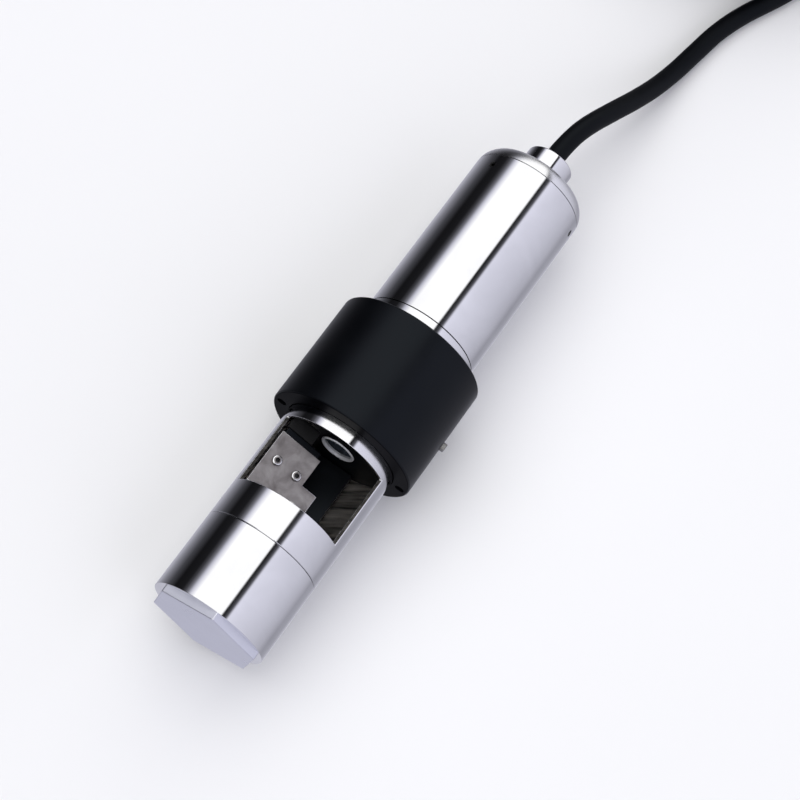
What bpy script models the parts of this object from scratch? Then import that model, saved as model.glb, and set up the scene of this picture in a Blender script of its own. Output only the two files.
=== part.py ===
"""Water quality probe with a wiped sample chamber, as an assembly of separate solids.

Frame: metres, +X along the probe from its hexagon end to its cable end, +Z up. The probe lies on its
collar with the sample window facing up, and the origin is below its middle, on the surface.
Stations along the probe are measured from the hexagon end.
"""

from math import asin, cos, pi, radians, sin, sqrt

import bmesh
import bpy
from mathutils import Matrix, Vector

MM = 0.001

# Clearances
GAP = 0.3 * MM  # between pieces that touch on the real probe
RING_GAP = 0.15 * MM  # round an O-ring in its groove
PAST = 1.0 * MM  # how far a cutter passes the face that it opens
SUNK = 0.2 * MM  # how far a piece goes into the one that it is joined to

# Housings
TUBE_RADIUS = 30.0 * MM
CHAMBER_WALL = 1.7 * MM
WALL_UNDER_RING = 0.65 * MM  # what an O-ring's groove leaves of a spigot
HEX_HEIGHT = 4.0 * MM
HEX_CORNER_INSET = 0.15 * MM
HEX_TURN = radians(-8.3)
HOUSING_FLOOR = 5.0 * MM
LOWER_HOUSING_LENGTH = 45.4 * MM  # hexagon end to the lower seam
SPIGOT_LENGTH = 7.6 * MM
UPPER_HOUSING_LENGTH = 96.3 * MM
UPPER_SPIGOT_LENGTH = 10.0 * MM
CAP_HEIGHT = 7.5 * MM
CAP_SLOPE = 3.4 * MM  # from the rim in to the cap's flat top
CAP_SHOULDER = [(0.2, 0.04), (0.55, 0.3), (0.88, 0.72)]  # shares of the cap's height and slope
CAP_PLUG_LENGTH = 14.0 * MM
GROOVE_WIDTH = 1.8 * MM
GROOVE_SETBACK = 3.0 * MM  # a groove's middle from the start of its spigot
RING_SECTION = 0.6 * MM  # radius of an O-ring's section

# Sample chamber
CHAMBER_BELOW_WINDOW = 19.7 * MM
WINDOW_LENGTH = 38.4 * MM
CHAMBER_ABOVE_WINDOW = 74.7 * MM
WINDOW_HALF_ANGLE = radians(65)
UPPER_DISC_SETBACK = 4.5 * MM  # the upper bulkhead's face above the window's edge
UPPER_DISC_LENGTH = 11.0 * MM
LOWER_DISC_SETBACK = 4.5 * MM
LENS_RING_RADIUS = 9.3 * MM
LENS_RING_WIDTH = 1.4 * MM
LENS_THICKNESS = 3.0 * MM
LENS_SETBACK = 0.7 * MM  # below the bulkhead's face
LENS_LEDGE = 1.2 * MM
LENS_BARREL_LENGTH = 17.0 * MM
LENS_THREAD_DEPTH = 0.9 * MM
LENS_SHOULDER = 3.0 * MM  # of the bulkhead, behind the holder's wide part
LENS_NUT_HEIGHT = 3.0 * MM
LENS_NUT_WALL = 3.0 * MM  # at its corners
GASKET_THICKNESS = 0.8 * MM
DUCT_WIDTH = 22.0 * MM
DUCT_DEPTH = 8.5 * MM
DUCT_BORE = 2.6 * MM

# Collar
COLLAR_WALL = 9.1 * MM
COLLAR_LENGTH = 60.2 * MM
COLLAR_SETBACK = 7.2 * MM  # the collar's lower face above the window
COLLAR_CHAMFER = 0.8 * MM
COLLAR_TURN = radians(-7)
COLLAR_HOLE_RADIUS = 2.6 * MM
COLLAR_HOLE_DEPTH = 12.0 * MM
SET_SCREW_RADIUS = 2.3 * MM
SET_SCREW_STANDS_OUT = 2.0 * MM
SET_SCREW_SOCKET = 1.3 * MM

# Grub screws of the cap
CAP_SCREW_RADIUS = 1.5 * MM
CAP_SCREW_DEPTH = 3.5 * MM  # into the cap's plug
CAP_SCREW_SUNK = 0.4 * MM  # below the housing's skin
CAP_SCREW_SOCKET = 0.85 * MM
CAP_SOCKET_DEPTH = 1.2 * MM
CAP_SCREW_SETBACK = 6.5 * MM  # below the rim
CAP_SCREW_ANGLES = [radians(a) for a in (41.5, 161.5, -78.5)]

# Gland
GLAND_RADIUS = 12.74 * MM
GLAND_HEIGHT = 16.4 * MM
GLAND_CHAMFER = 0.8 * MM
GLAND_STEM_RADIUS = 8.0 * MM
GLAND_STEM_LENGTH = 27.0 * MM
GLAND_NUT_HEIGHT = 4.0 * MM
GLAND_NUT_ACROSS_CORNERS = 25.4 * MM
GLAND_SEAL_LENGTH = 8.0 * MM
GLAND_SEAL_WALL = 2.6 * MM

# Wiper and its gear motor
MOTOR_RADIUS = 9.0 * MM
GEARBOX_LENGTH = 21.0 * MM
MOTOR_LENGTH = 17.0 * MM
MOTOR_STEP = 0.5 * MM  # of the motor can inside its gearbox
MOTOR_PLATE = 2.0 * MM
MOTOR_SIDE_GAP = 1.0 * MM
MOTOR_SCREW_SPREAD = 6.0 * MM
MOTOR_SCREW_RADIUS = 1.1 * MM
MOTOR_SCREW_HEAD = 2.0 * MM
MOTOR_SCREW_HEAD_HEIGHT = 1.0 * MM
MOTOR_SCREW_DEPTH = 4.0 * MM
SHAFT_RADIUS = 2.0 * MM
SHAFT_IN_GEARBOX = 7.0 * MM
BUSH_WALL = 1.7 * MM
BUSH_SHARE = 0.55  # of the lower bulkhead's length; the seal takes the rest
SEAL_WALL = 2.7 * MM
HUB_RADIUS = 5.0 * MM
HUB_HEIGHT = 4.7 * MM
HUB_RUNNING_GAP = 0.4 * MM
HUB_OVER_SHAFT = 1.2 * MM
HUB_SCREW_RADIUS = 1.0 * MM
HUB_SCREW_HEAD = 2.4 * MM
ARM_ANGLE = radians(17)
SHEET = 1.2 * MM
PLATE_OFFSET = 6.45 * MM  # the shaft's axis to the bracket's front face
PLATE_TOP_DROP = 8.0 * MM  # the bracket's top below the window's upper edge
FOOT_REACH = 8.7 * MM
FOOT_TOP = 15.5 * MM  # above the window's lower edge
SHELF_MARGIN = 0.5 * MM  # of the bracket's shelf past the hub
TAB_DEPTH = 2.6 * MM
TAB_START = 6.0 * MM  # above the bracket's bottom
BLOCK_DEPTH = 5.0 * MM
BLOCK_START = 8.0 * MM  # above the bracket's bottom
BLOCK_TOP_DROP = 4.5 * MM  # below the window's upper edge
BLOCK_BLADE_STEP = 0.6 * MM
BLADE_DEPTH = 3.2 * MM
BLADE_RUNNING_GAP = 0.4 * MM
BLADE_FROM_SHAFT = 7.5 * MM  # across, so that the parked blade leaves the lens in view
BLOCK_FROM_SHAFT = 1.3 * MM
BLADE_SIDE_GAP = 0.8 * MM
PLATE_EDGE_GAP = 1.2 * MM  # inside the tube's outside
BRACKET_SCREW_RADIUS = 1.4 * MM
BRACKET_SCREW_HEAD = 2.5 * MM
BRACKET_SCREW_HEAD_HEIGHT = 1.2 * MM
BRACKET_SCREW_DEPTH = 3.5 * MM  # into the block
BRACKET_SCREW_SOCKET = 1.25 * MM
BRACKET_SOCKET_DEPTH = 0.9 * MM
BRACKET_SCREW_SPACING = 11.6 * MM
BRACKET_SCREW_HEIGHT = 17.0 * MM  # above the window's lower edge

# Electronics
OPTIC_BOARD_SETBACK = 9.5 * MM
OPTIC_BOARD_TO_RAIL = 1.0 * MM
STANDOFF_INSET = 2.0 * MM
STANDOFF_RADIUS = 1.6 * MM
LIGHT_RADIUS = 1.9 * MM
LIGHT_LENGTH = 4.0 * MM
LIGHT_HEIGHT = 3.6 * MM
CELL_RADIUS = 1.8 * MM
CELL_LENGTH = 3.0 * MM
CELL_OFFSET = 3.8 * MM
BOARD_THICKNESS = 1.6 * MM
BOARD_EDGE_GAP = 3.5 * MM  # to the housing's bore
RAIL_RADIUS = 2.5 * MM
RAIL_INSET = 3.5 * MM  # from the board's edge
RAIL_TOP_DROP = 2.0 * MM  # below the axis
MAIN_BOARD_START = 12.0 * MM  # behind the optical board
MAIN_BOARD_TO_NUT = 14.0 * MM
BOARD_SCREW_INSET = 6.0 * MM
SCREW_RADIUS = 1.0 * MM  # of the boards' screws
SCREW_HEAD = 1.9 * MM
SCREW_HEAD_HEIGHT = 1.3 * MM
CHIPS_MM = [  # from the board's start, from its middle line, length, width, height
    (4, -6, 8, 12, 6.0),
    (18, -7, 14, 14, 1.6),
    (38, -13, 8, 6, 1.6),
    (38, 4, 10, 8, 2.0),
]
CAPACITORS_MM = [(58, -8), (58, 4)]
CAPACITOR_RADIUS = 4.0 * MM
CAPACITOR_HEIGHT = 10.0 * MM
TERMINAL_HALF_WIDTH = 11.0 * MM
TERMINAL_LENGTH = 9.0 * MM
TERMINAL_HEIGHT = 9.0 * MM
TERMINAL_INSET = 12.0 * MM  # its start from the board's end
TERMINAL_PITCH = 5.0 * MM
TERMINAL_MOUTH = 1.7 * MM
TERMINAL_MOUTH_DEPTH = 4.0 * MM
PLUG_START = 10.0 * MM  # behind the board's start
PLUG_LENGTH = 8.0 * MM
PLUG_HALF_WIDTH = 4.0 * MM
PLUG_HEIGHT = 7.0 * MM
LEAD_RADIUS = 1.4 * MM
WIRE_RADIUS = 0.9 * MM
WIRES_IN_JACKET = 0.36  # share of the terminals' pitch that the wires keep in the cable
JACKET_IN_STEM = 1.5 * MM  # past the gland stem's end
CORE_BEND = 2.5 * MM  # behind the terminal block
CORE_OVERLAP = 0.6 * MM
CORE_STEP = 0.1 * MM  # thinner past the bend
LEAD_OFF_MOTOR = 0.4 * MM
LEAD_BEFORE_MOTOR_MM = (4.0, -1.0)  # the lead's heights above the motor's underside
LEAD_OVER_MOTOR_MM = [(4.0, 12.0), (16.0, 1.0)]  # from the motor's start, above the duct's bore
LEAD_STRAIGHT = 4.0 * MM  # behind the upper bulkhead
LEAD_PAST_OPTICS = 3.0 * MM  # above the duct's bore
LEAD_TO_PLUG_MM = [(-7.0, 1.0), (-0.9, 3.0)]  # from the plug's start and underside

# Cable
CABLE_RADIUS = 5.2 * MM
CABLE_LENGTH = 10.0
CABLE_ROUTE = [
    (0.1495, 0.0000, 0.0391),
    (0.1600, -0.0004, 0.0389),
    (0.1720, -0.0018, 0.0376),
    (0.1840, -0.0045, 0.0347),
    (0.2000, -0.0090, 0.0288),
    (0.2180, -0.0138, 0.0208),
    (0.2360, -0.0178, 0.0135),
    (0.2540, -0.0208, 0.0083),
    (0.2720, -0.0234, 0.0060),
    (0.2900, -0.0266, 0.0056),
    (0.3080, -0.0324, 0.0056),
    (0.3300, -0.0424, 0.0060),
]
HANK_NEAR_FOLD = 0.3800  # X of the near fold's centre
HANK_COLUMNS = 3
HANK_LAYERS = 6
HANK_INNER_FOLD = 33.0 * MM
HANK_PITCH = 10.5 * MM
STRAP_THICKNESS = 0.9 * MM
STRAP_WIDTH = 18.0 * MM
STRAP_TO_FOLD = 6.0 * MM  # the strap's edge before the far fold
CABLE_TAIL = 24.0 * MM
TAIL_START = 2.0 * MM  # past the near fold's centre
SLEEVE_RADIUS = 6.2 * MM
SLEEVE_LENGTH = 22.0 * MM
CORE_RADIUS = 1.1 * MM
CORE_LENGTH = 42.0 * MM
CORE_SPREAD = 3.6 * MM
CORE_SPREAD_IN_SLEEVE = 2.2 * MM
CORE_DROP = 2.0 * MM
CORE_FALL_SHARE = 0.3  # of a core's length, from the sleeve down to the hank

# Facets
SHELL_SIDES = 40
DISC_SIDES = 28
SMALL_SIDES = 16
TINY_SIDES = 8
RING_SIDES = 6
HEX_SIDES = 6

# Stations along the probe
SEAM_LOW = LOWER_HOUSING_LENGTH
WINDOW_START = SEAM_LOW + CHAMBER_BELOW_WINDOW
WINDOW_END = WINDOW_START + WINDOW_LENGTH
SEAM_HIGH = WINDOW_END + CHAMBER_ABOVE_WINDOW
RIM = SEAM_HIGH + UPPER_HOUSING_LENGTH
CAP_TOP = RIM + CAP_HEIGHT
PROBE_LENGTH = CAP_TOP + GLAND_HEIGHT
COLLAR_START = WINDOW_END + COLLAR_SETBACK
COLLAR_END = COLLAR_START + COLLAR_LENGTH
UPPER_FACE = WINDOW_END + UPPER_DISC_SETBACK
UPPER_BACK = UPPER_FACE + UPPER_DISC_LENGTH
LOWER_FACE = WINDOW_START - LOWER_DISC_SETBACK
SPIGOT_END = SEAM_LOW + SPIGOT_LENGTH
LOWER_BACK = SPIGOT_END + GAP
LOWER_GROOVE = SEAM_LOW + GROOVE_SETBACK
UPPER_GROOVE = SEAM_HIGH - UPPER_SPIGOT_LENGTH / 2
OPTIC_BOARD_START = UPPER_BACK + OPTIC_BOARD_SETBACK
OPTIC_BOARD_END = OPTIC_BOARD_START + BOARD_THICKNESS
GLAND_STEM_END = CAP_TOP - GLAND_STEM_LENGTH
CAP_PLUG_END = RIM - CAP_PLUG_LENGTH
CAP_GROOVE = CAP_PLUG_END + GROOVE_SETBACK
MAIN_BOARD_FROM = OPTIC_BOARD_END + MAIN_BOARD_START
MAIN_BOARD_TO = GLAND_STEM_END - MAIN_BOARD_TO_NUT
RAIL_END = MAIN_BOARD_TO + RAIL_RADIUS

# Radii and heights about the probe's axis
GROOVE_DEPTH = 2 * RING_SECTION + RING_GAP
CHAMBER_BORE = TUBE_RADIUS - CHAMBER_WALL
FITS_CHAMBER = CHAMBER_BORE - GAP
HOUSING_BORE = FITS_CHAMBER - GROOVE_DEPTH - WALL_UNDER_RING
FITS_HOUSING = HOUSING_BORE - GAP
COLLAR_BORE = TUBE_RADIUS + GAP
COLLAR_RADIUS = TUBE_RADIUS + COLLAR_WALL
WINDOW_PLANE = TUBE_RADIUS * cos(WINDOW_HALF_ANGLE)
LENS_RADIUS = LENS_RING_RADIUS - LENS_RING_WIDTH
LENS_THREAD = LENS_RING_RADIUS - LENS_THREAD_DEPTH
CABLE_HOLE = CABLE_RADIUS + GAP
DUCT_BORE_HEIGHT = DUCT_DEPTH / 2 - FITS_CHAMBER

# Boards
RAIL_HEIGHT = -RAIL_RADIUS - RAIL_TOP_DROP
BOARD_BOTTOM = RAIL_HEIGHT + RAIL_RADIUS + GAP
BOARD_TOP = BOARD_BOTTOM + BOARD_THICKNESS
BOARD_HALF_WIDTH = HOUSING_BORE - BOARD_EDGE_GAP
RAIL_SPREAD = BOARD_HALF_WIDTH - RAIL_INSET
OPTIC_BOARD_RADIUS = RAIL_SPREAD - RAIL_RADIUS - OPTIC_BOARD_TO_RAIL

# Wiper
SHAFT_HEIGHT = HOUSING_BORE - MOTOR_RADIUS - MOTOR_SIDE_GAP
SHAFT_BORE = SHAFT_RADIUS + GAP
HUB_START = LOWER_FACE + HUB_RUNNING_GAP
HUB_END = HUB_START + HUB_HEIGHT
BRACKET_BOTTOM = HUB_END + GAP
BRACKET_TOP = WINDOW_END - PLATE_TOP_DROP
PLATE_BACK = -PLATE_OFFSET - SHEET
BLADE_TOP = UPPER_FACE - GAP - BLADE_RUNNING_GAP
BLOCK_TOP = WINDOW_END - BLOCK_TOP_DROP
BRACKET_SCREW_STATION = WINDOW_START + BRACKET_SCREW_HEIGHT


def reach(limit, offset):
    """How far an arm goes from the shaft, at this offset across itself, to meet a circle round the probe."""
    across = SHAFT_HEIGHT * cos(ARM_ANGLE) + offset
    return sqrt(limit**2 - across**2) - SHAFT_HEIGHT * sin(ARM_ANGLE)


PLATE_REACH = reach(TUBE_RADIUS - PLATE_EDGE_GAP, -PLATE_OFFSET)
BLADE_REACH = reach(CHAMBER_BORE - BLADE_SIDE_GAP, PLATE_BACK - GAP)


def new_material(name, colour, roughness, metallic=0.0, alpha=1.0):
    material = bpy.data.materials.new(name)
    material.use_nodes = True
    shader = material.node_tree.nodes["Principled BSDF"]
    shader.inputs["Base Color"].default_value = (*colour, 1.0)
    shader.inputs["Roughness"].default_value = roughness
    shader.inputs["Metallic"].default_value = metallic
    shader.inputs["Alpha"].default_value = alpha
    material.diffuse_color = (*colour, alpha)
    return material


def clear_scene():
    for obj in list(bpy.data.objects):
        bpy.data.objects.remove(obj, do_unlink=True)


def new_empty(name, parent=None, location=(0, 0, 0), turn=0.0):
    empty = bpy.data.objects.new(name, None)
    bpy.context.scene.collection.objects.link(empty)
    empty.parent = parent
    empty.location = location
    empty.rotation_euler.x = turn
    return empty


def finish_mesh(name, bm, material, parent):
    """Turn a bmesh into a smooth shaded object on its parent."""
    bmesh.ops.remove_doubles(bm, verts=bm.verts, dist=1e-6)
    bmesh.ops.recalc_face_normals(bm, faces=bm.faces)
    mesh = bpy.data.meshes.new(name)
    bm.to_mesh(mesh)
    bm.free()
    mesh.materials.append(material)
    mesh.shade_smooth()
    mesh.set_sharp_from_angle(angle=radians(35))
    obj = bpy.data.objects.new(name, mesh)
    bpy.context.scene.collection.objects.link(obj)
    obj.parent = parent
    return obj


def add_turned(bm, profile, sides, height=0.0):
    """Spin a profile of (station, radius) about the X line at this height.

    A profile that starts and ends on the axis stays open.
    """
    verts = [bm.verts.new((x, 0, height + radius)) for x, radius in profile]
    edges = [bm.edges.new(pair) for pair in zip(verts, verts[1:])]
    if profile[0][1] > 0 or profile[-1][1] > 0:
        edges.append(bm.edges.new((verts[-1], verts[0])))
    bmesh.ops.spin(
        bm,
        geom=verts + edges,
        cent=(0, 0, height),
        axis=(1, 0, 0),
        angle=2 * pi,
        steps=sides,
        use_merge=True,
    )


def turned(name, profiles, material, parent, sides=SHELL_SIDES, height=0.0):
    bm = bmesh.new()
    for profile in profiles:
        add_turned(bm, profile, sides, height)
    return finish_mesh(name, bm, material, parent)


def pipe_profile(start, end, inner, outer):
    return [(start, inner), (start, outer), (end, outer), (end, inner)]


def ring_profile(station, radius, section=RING_SECTION):
    """A round section with its outside at this radius."""
    angles = [2 * pi * k / RING_SIDES for k in range(RING_SIDES)]
    middle = radius - section
    return [(station + section * sin(a), middle + section * cos(a)) for a in angles]


def add_rod(bm, start, end, radius, sides=SMALL_SIDES):
    """Add a closed cylinder, or a prism with few sides, between two points."""
    start, end = Vector(start), Vector(end)
    along = end - start
    turn = along.to_track_quat("Z", "Y").to_matrix().to_4x4()
    place = Matrix.Translation((start + end) / 2) @ turn
    bmesh.ops.create_cone(
        bm,
        cap_ends=True,
        segments=sides,
        radius1=radius,
        radius2=radius,
        depth=along.length,
        matrix=place,
    )


def axial(start, end, radius, height=0.0, y=0.0):
    """A cylinder along the probe between two stations."""
    return (start, y, height), (end, y, height), radius


def rods(name, pieces, material, parent, sides=SMALL_SIDES):
    """One object of separate cylinders, each (start, end, radius)."""
    bm = bmesh.new()
    for start, end, radius in pieces:
        add_rod(bm, start, end, radius, sides)
    return finish_mesh(name, bm, material, parent)


def add_box(bm, low, high):
    size = [b - a for a, b in zip(low, high)]
    middle = [(a + b) / 2 for a, b in zip(low, high)]
    place = Matrix.Translation(middle) @ Matrix.Diagonal((*size, 1))
    bmesh.ops.create_cube(bm, size=1, matrix=place)


def boxes(name, corners, material, parent):
    bm = bmesh.new()
    for low, high in corners:
        add_box(bm, low, high)
    return finish_mesh(name, bm, material, parent)


def add_prism(bm, outline, low, high, axes=(1, 2)):
    """Extrude an outline of (a, b) points along the axis that it leaves out."""
    along = 3 - sum(axes)
    corners = []
    for a, b in outline:
        point = [0.0, 0.0, 0.0]
        point[axes[0]], point[axes[1]], point[along] = a, b, low
        corners.append(bm.verts.new(point))
    face = bm.faces.new(corners)
    made = bmesh.ops.extrude_face_region(bm, geom=[face])["geom"]
    moved = [v for v in made if isinstance(v, bmesh.types.BMVert)]
    shift = [0.0, 0.0, 0.0]
    shift[along] = high - low
    bmesh.ops.translate(bm, verts=moved, vec=shift)


def combine(obj, other, operation):
    """Cut or join with a Boolean; the other object becomes a hidden helper."""
    modifier = obj.modifiers.new(other.name, "BOOLEAN")
    modifier.operation = operation
    modifier.solver = "EXACT"
    modifier.object = other
    other.hide_render = True
    other.display_type = "WIRE"


def cut(obj, other):
    combine(obj, other, "DIFFERENCE")


def join(obj, other):
    combine(obj, other, "UNION")


def around(radius, angle):
    """Y and Z at this radius, with the angle from the top towards +Y."""
    return radius * sin(angle), radius * cos(angle)


def smooth_points(route, spacing):
    """Points along a Catmull-Rom curve through the route, about this far apart."""
    points = [Vector(p) for p in route]
    points = [2 * points[0] - points[1], *points, 2 * points[-1] - points[-2]]
    found = [points[1]]
    for a, b, c, d in zip(points, points[1:], points[2:], points[3:]):
        for k in range(1, 21):
            t = k / 20
            place = (
                2 * b
                + (c - a) * t
                + (2 * a - 5 * b + 4 * c - d) * t**2
                + (3 * b - a - 3 * c + d) * t**3
            )
            found.append(place / 2)
    travelled = [0.0]
    for a, b in zip(found, found[1:]):
        travelled.append(travelled[-1] + (b - a).length)
    count = max(2, round(travelled[-1] / spacing))
    chosen = [found[0]]
    for k in range(1, count):
        want = travelled[-1] * k / count
        chosen.append(found[min(range(len(found)), key=lambda i: abs(travelled[i] - want))])
    return [*chosen, found[-1]]


def tubes(name, routes, radius, material, parent, spacing, smoothness=3):
    """One curve object with a round section along each route."""
    curve = bpy.data.curves.new(name, "CURVE")
    curve.dimensions = "3D"
    curve.bevel_depth = radius
    curve.bevel_resolution = smoothness
    curve.use_fill_caps = True
    curve.materials.append(material)
    for route in routes:
        points = smooth_points(route, spacing)
        spline = curve.splines.new("POLY")
        spline.points.add(len(points) - 1)
        for target, point in zip(spline.points, points):
            target.co = (*point, 1)
            target.radius = 1
        spline.use_smooth = True
    obj = bpy.data.objects.new(name, curve)
    bpy.context.scene.collection.objects.link(obj)
    obj.parent = parent
    return obj


def make_materials():
    return {
        "steel": new_material("polished_steel", (0.78, 0.78, 0.8), 0.12, 1.0),
        "satin": new_material("satin_steel", (0.62, 0.6, 0.58), 0.35, 1.0),
        "black": new_material("black_acetal", (0.012, 0.012, 0.013), 0.42),
        "rubber": new_material("black_rubber", (0.02, 0.02, 0.02), 0.75),
        "jacket": new_material("cable_jacket", (0.015, 0.015, 0.016), 0.6),
        "glass": new_material("sapphire_glass", (0.75, 0.82, 0.86), 0.03, 0.0, 0.35),
        "bronze": new_material("bronze", (0.6, 0.4, 0.2), 0.35, 1.0),
        "board": new_material("green_board", (0.02, 0.16, 0.07), 0.45),
        "chip": new_material("chip_black", (0.02, 0.02, 0.022), 0.5),
        "can": new_material("can_metal", (0.7, 0.7, 0.72), 0.3, 1.0),
        "terminal": new_material("terminal_green", (0.05, 0.35, 0.12), 0.5),
        "core": new_material("core_insulation", (0.5, 0.1, 0.05), 0.5),
    }


def make_housings(probe, mat):
    def groove(station, radius):
        """Profile points of an O-ring groove cut into this radius."""
        low, high = station - GROOVE_WIDTH / 2, station + GROOVE_WIDTH / 2
        floor = radius - GROOVE_DEPTH
        return [(low, radius), (low, floor), (high, floor), (high, radius)]

    floor_end = HEX_HEIGHT + HOUSING_FLOOR
    cup = [
        (HEX_HEIGHT, 0),
        (HEX_HEIGHT, TUBE_RADIUS),
        (SEAM_LOW, TUBE_RADIUS),
        (SEAM_LOW, FITS_CHAMBER),
        *groove(LOWER_GROOVE, FITS_CHAMBER),
        (SPIGOT_END, FITS_CHAMBER),
        (SPIGOT_END, HOUSING_BORE),
        (floor_end, HOUSING_BORE),
        (floor_end, 0),
    ]
    housing = turned("lower_housing", [cup], mat["steel"], probe)
    bm = bmesh.new()
    corner = TUBE_RADIUS - HEX_CORNER_INSET
    corners = [around(corner, HEX_TURN + k * pi / 3) for k in range(6)]
    add_prism(bm, corners, 0, HEX_HEIGHT + HOUSING_FLOOR / 2)
    join(housing, finish_mesh("cutter_hexagon", bm, mat["steel"], probe))

    tube = turned(
        "chamber_tube",
        [pipe_profile(SEAM_LOW + GAP, SEAM_HIGH, CHAMBER_BORE, TUBE_RADIUS)],
        mat["steel"],
        probe,
    )
    wide = 2 * TUBE_RADIUS
    window = [(WINDOW_START, -wide, WINDOW_PLANE), (WINDOW_END, wide, wide)]
    cut(tube, boxes("cutter_window", [window], mat["steel"], probe))

    upper = [
        (SEAM_HIGH - UPPER_SPIGOT_LENGTH, HOUSING_BORE),
        (SEAM_HIGH - UPPER_SPIGOT_LENGTH, FITS_CHAMBER),
        *groove(UPPER_GROOVE, FITS_CHAMBER),
        (SEAM_HIGH + GAP, FITS_CHAMBER),
        (SEAM_HIGH + GAP, TUBE_RADIUS),
        (RIM, TUBE_RADIUS),
        (RIM, HOUSING_BORE),
    ]
    upper_housing = turned("upper_housing", [upper], mat["steel"], probe)

    rise = CAP_HEIGHT - GAP
    shoulder = [(RIM + GAP + rise * a, TUBE_RADIUS - CAP_SLOPE * b) for a, b in CAP_SHOULDER]
    bore = GLAND_STEM_RADIUS + GAP
    cap_profile = [
        (CAP_PLUG_END, bore),
        (CAP_PLUG_END, FITS_HOUSING),
        *groove(CAP_GROOVE, FITS_HOUSING),
        (RIM + GAP, FITS_HOUSING),
        (RIM + GAP, TUBE_RADIUS),
        *shoulder,
        (CAP_TOP, TUBE_RADIUS - CAP_SLOPE),
        (CAP_TOP, bore),
    ]
    cap = turned("top_cap", [cap_profile], mat["steel"], probe)

    station = RIM - CAP_SCREW_SETBACK
    deep = FITS_HOUSING - CAP_SCREW_DEPTH
    holes = []
    for number, angle in enumerate(CAP_SCREW_ANGLES, 1):
        def point(radius):
            return (station, *around(radius, angle))

        outside = point(TUBE_RADIUS + PAST)
        top = TUBE_RADIUS - CAP_SCREW_SUNK
        shank = [(point(deep), point(top), CAP_SCREW_RADIUS)]
        screw = rods(f"cap_set_screw_{number}", shank, mat["satin"], probe, TINY_SIDES)
        socket = [(point(top - CAP_SOCKET_DEPTH), outside, CAP_SCREW_SOCKET)]
        cut(screw, rods(f"cutter_cap_socket_{number}", socket, mat["satin"], probe, 6))
        holes.append((point(deep - GAP), outside, CAP_SCREW_RADIUS + GAP))
    hole_cutter = rods("cutter_cap_screw_holes", holes, mat["steel"], probe, TINY_SIDES)
    cut(cap, hole_cutter)
    cut(upper_housing, hole_cutter)

    rings = {
        "lower_housing_o_ring": (LOWER_GROOVE, CHAMBER_BORE),
        "upper_housing_o_ring": (UPPER_GROOVE, CHAMBER_BORE),
        "cap_o_ring": (CAP_GROOVE, HOUSING_BORE),
    }
    for name, (at, bore_radius) in rings.items():
        profile = ring_profile(at, bore_radius - RING_GAP)
        turned(name, [profile], mat["rubber"], probe, DISC_SIDES)


def make_collar(probe, mat):
    chamfer = COLLAR_CHAMFER
    profile = [
        (COLLAR_START, COLLAR_BORE),
        (COLLAR_START, COLLAR_RADIUS - chamfer),
        (COLLAR_START + chamfer, COLLAR_RADIUS),
        (COLLAR_END - chamfer, COLLAR_RADIUS),
        (COLLAR_END, COLLAR_RADIUS - chamfer),
        (COLLAR_END, COLLAR_BORE),
    ]
    collar = turned("mounting_collar", [profile], mat["black"], probe)

    middle = (COLLAR_BORE + COLLAR_RADIUS) / 2
    hole_end = COLLAR_START + COLLAR_HOLE_DEPTH
    holes = []
    for side in (pi / 2, -pi / 2):
        y, z = around(middle, side + COLLAR_TURN)
        holes.append(((COLLAR_START - PAST, y, z), (hole_end, y, z), COLLAR_HOLE_RADIUS))
    screw_side = COLLAR_TURN - pi / 2
    station = (COLLAR_START + COLLAR_END) / 2
    tip = (station, *around(COLLAR_BORE + GAP, screw_side))
    screw_top = COLLAR_RADIUS + SET_SCREW_STANDS_OUT
    head = (station, *around(screw_top, screw_side))
    inside = (station, *around(COLLAR_BORE - PAST, screw_side))
    outside = (station, *around(screw_top + PAST, screw_side))
    holes.append((inside, outside, SET_SCREW_RADIUS + GAP))
    cut(collar, rods("cutter_collar_holes", holes, mat["black"], probe))
    screw = rods("collar_set_screw", [(tip, head, SET_SCREW_RADIUS)], mat["satin"], probe)
    socket = [((station, *around(COLLAR_RADIUS, screw_side)), outside, SET_SCREW_SOCKET)]
    cut(screw, rods("cutter_collar_socket", socket, mat["satin"], probe, HEX_SIDES))


def make_gland(probe, mat):
    seal_radius = CABLE_HOLE + GLAND_SEAL_WALL
    seal_from = PROBE_LENGTH - GLAND_SEAL_LENGTH
    body = [
        (GLAND_STEM_END, CABLE_HOLE),
        (GLAND_STEM_END, GLAND_STEM_RADIUS),
        (CAP_TOP + GAP, GLAND_STEM_RADIUS),
        (CAP_TOP + GAP, GLAND_RADIUS),
        (PROBE_LENGTH - GLAND_CHAMFER, GLAND_RADIUS),
        (PROBE_LENGTH, GLAND_RADIUS - GLAND_CHAMFER),
        (PROBE_LENGTH, seal_radius + GAP),
        (seal_from - GAP, seal_radius + GAP),
        (seal_from - GAP, CABLE_HOLE),
    ]
    turned("cable_gland", [body], mat["steel"], probe, DISC_SIDES)
    seal = pipe_profile(seal_from, PROBE_LENGTH - GAP, CABLE_HOLE, seal_radius)
    turned("gland_seal", [seal], mat["rubber"], probe, DISC_SIDES)
    nut_end = CAP_PLUG_END - GAP
    nut_start = nut_end - GLAND_NUT_HEIGHT
    hexagon = ((nut_start, 0, 0), (nut_end, 0, 0), GLAND_NUT_ACROSS_CORNERS / 2)
    nut = rods("gland_nut", [hexagon], mat["satin"], probe, HEX_SIDES)
    hole_line = ((nut_start - PAST, 0, 0), (nut_end + PAST, 0, 0), GLAND_STEM_RADIUS + GAP)
    cut(nut, rods("cutter_gland_nut", [hole_line], mat["satin"], probe, DISC_SIDES))


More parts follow.
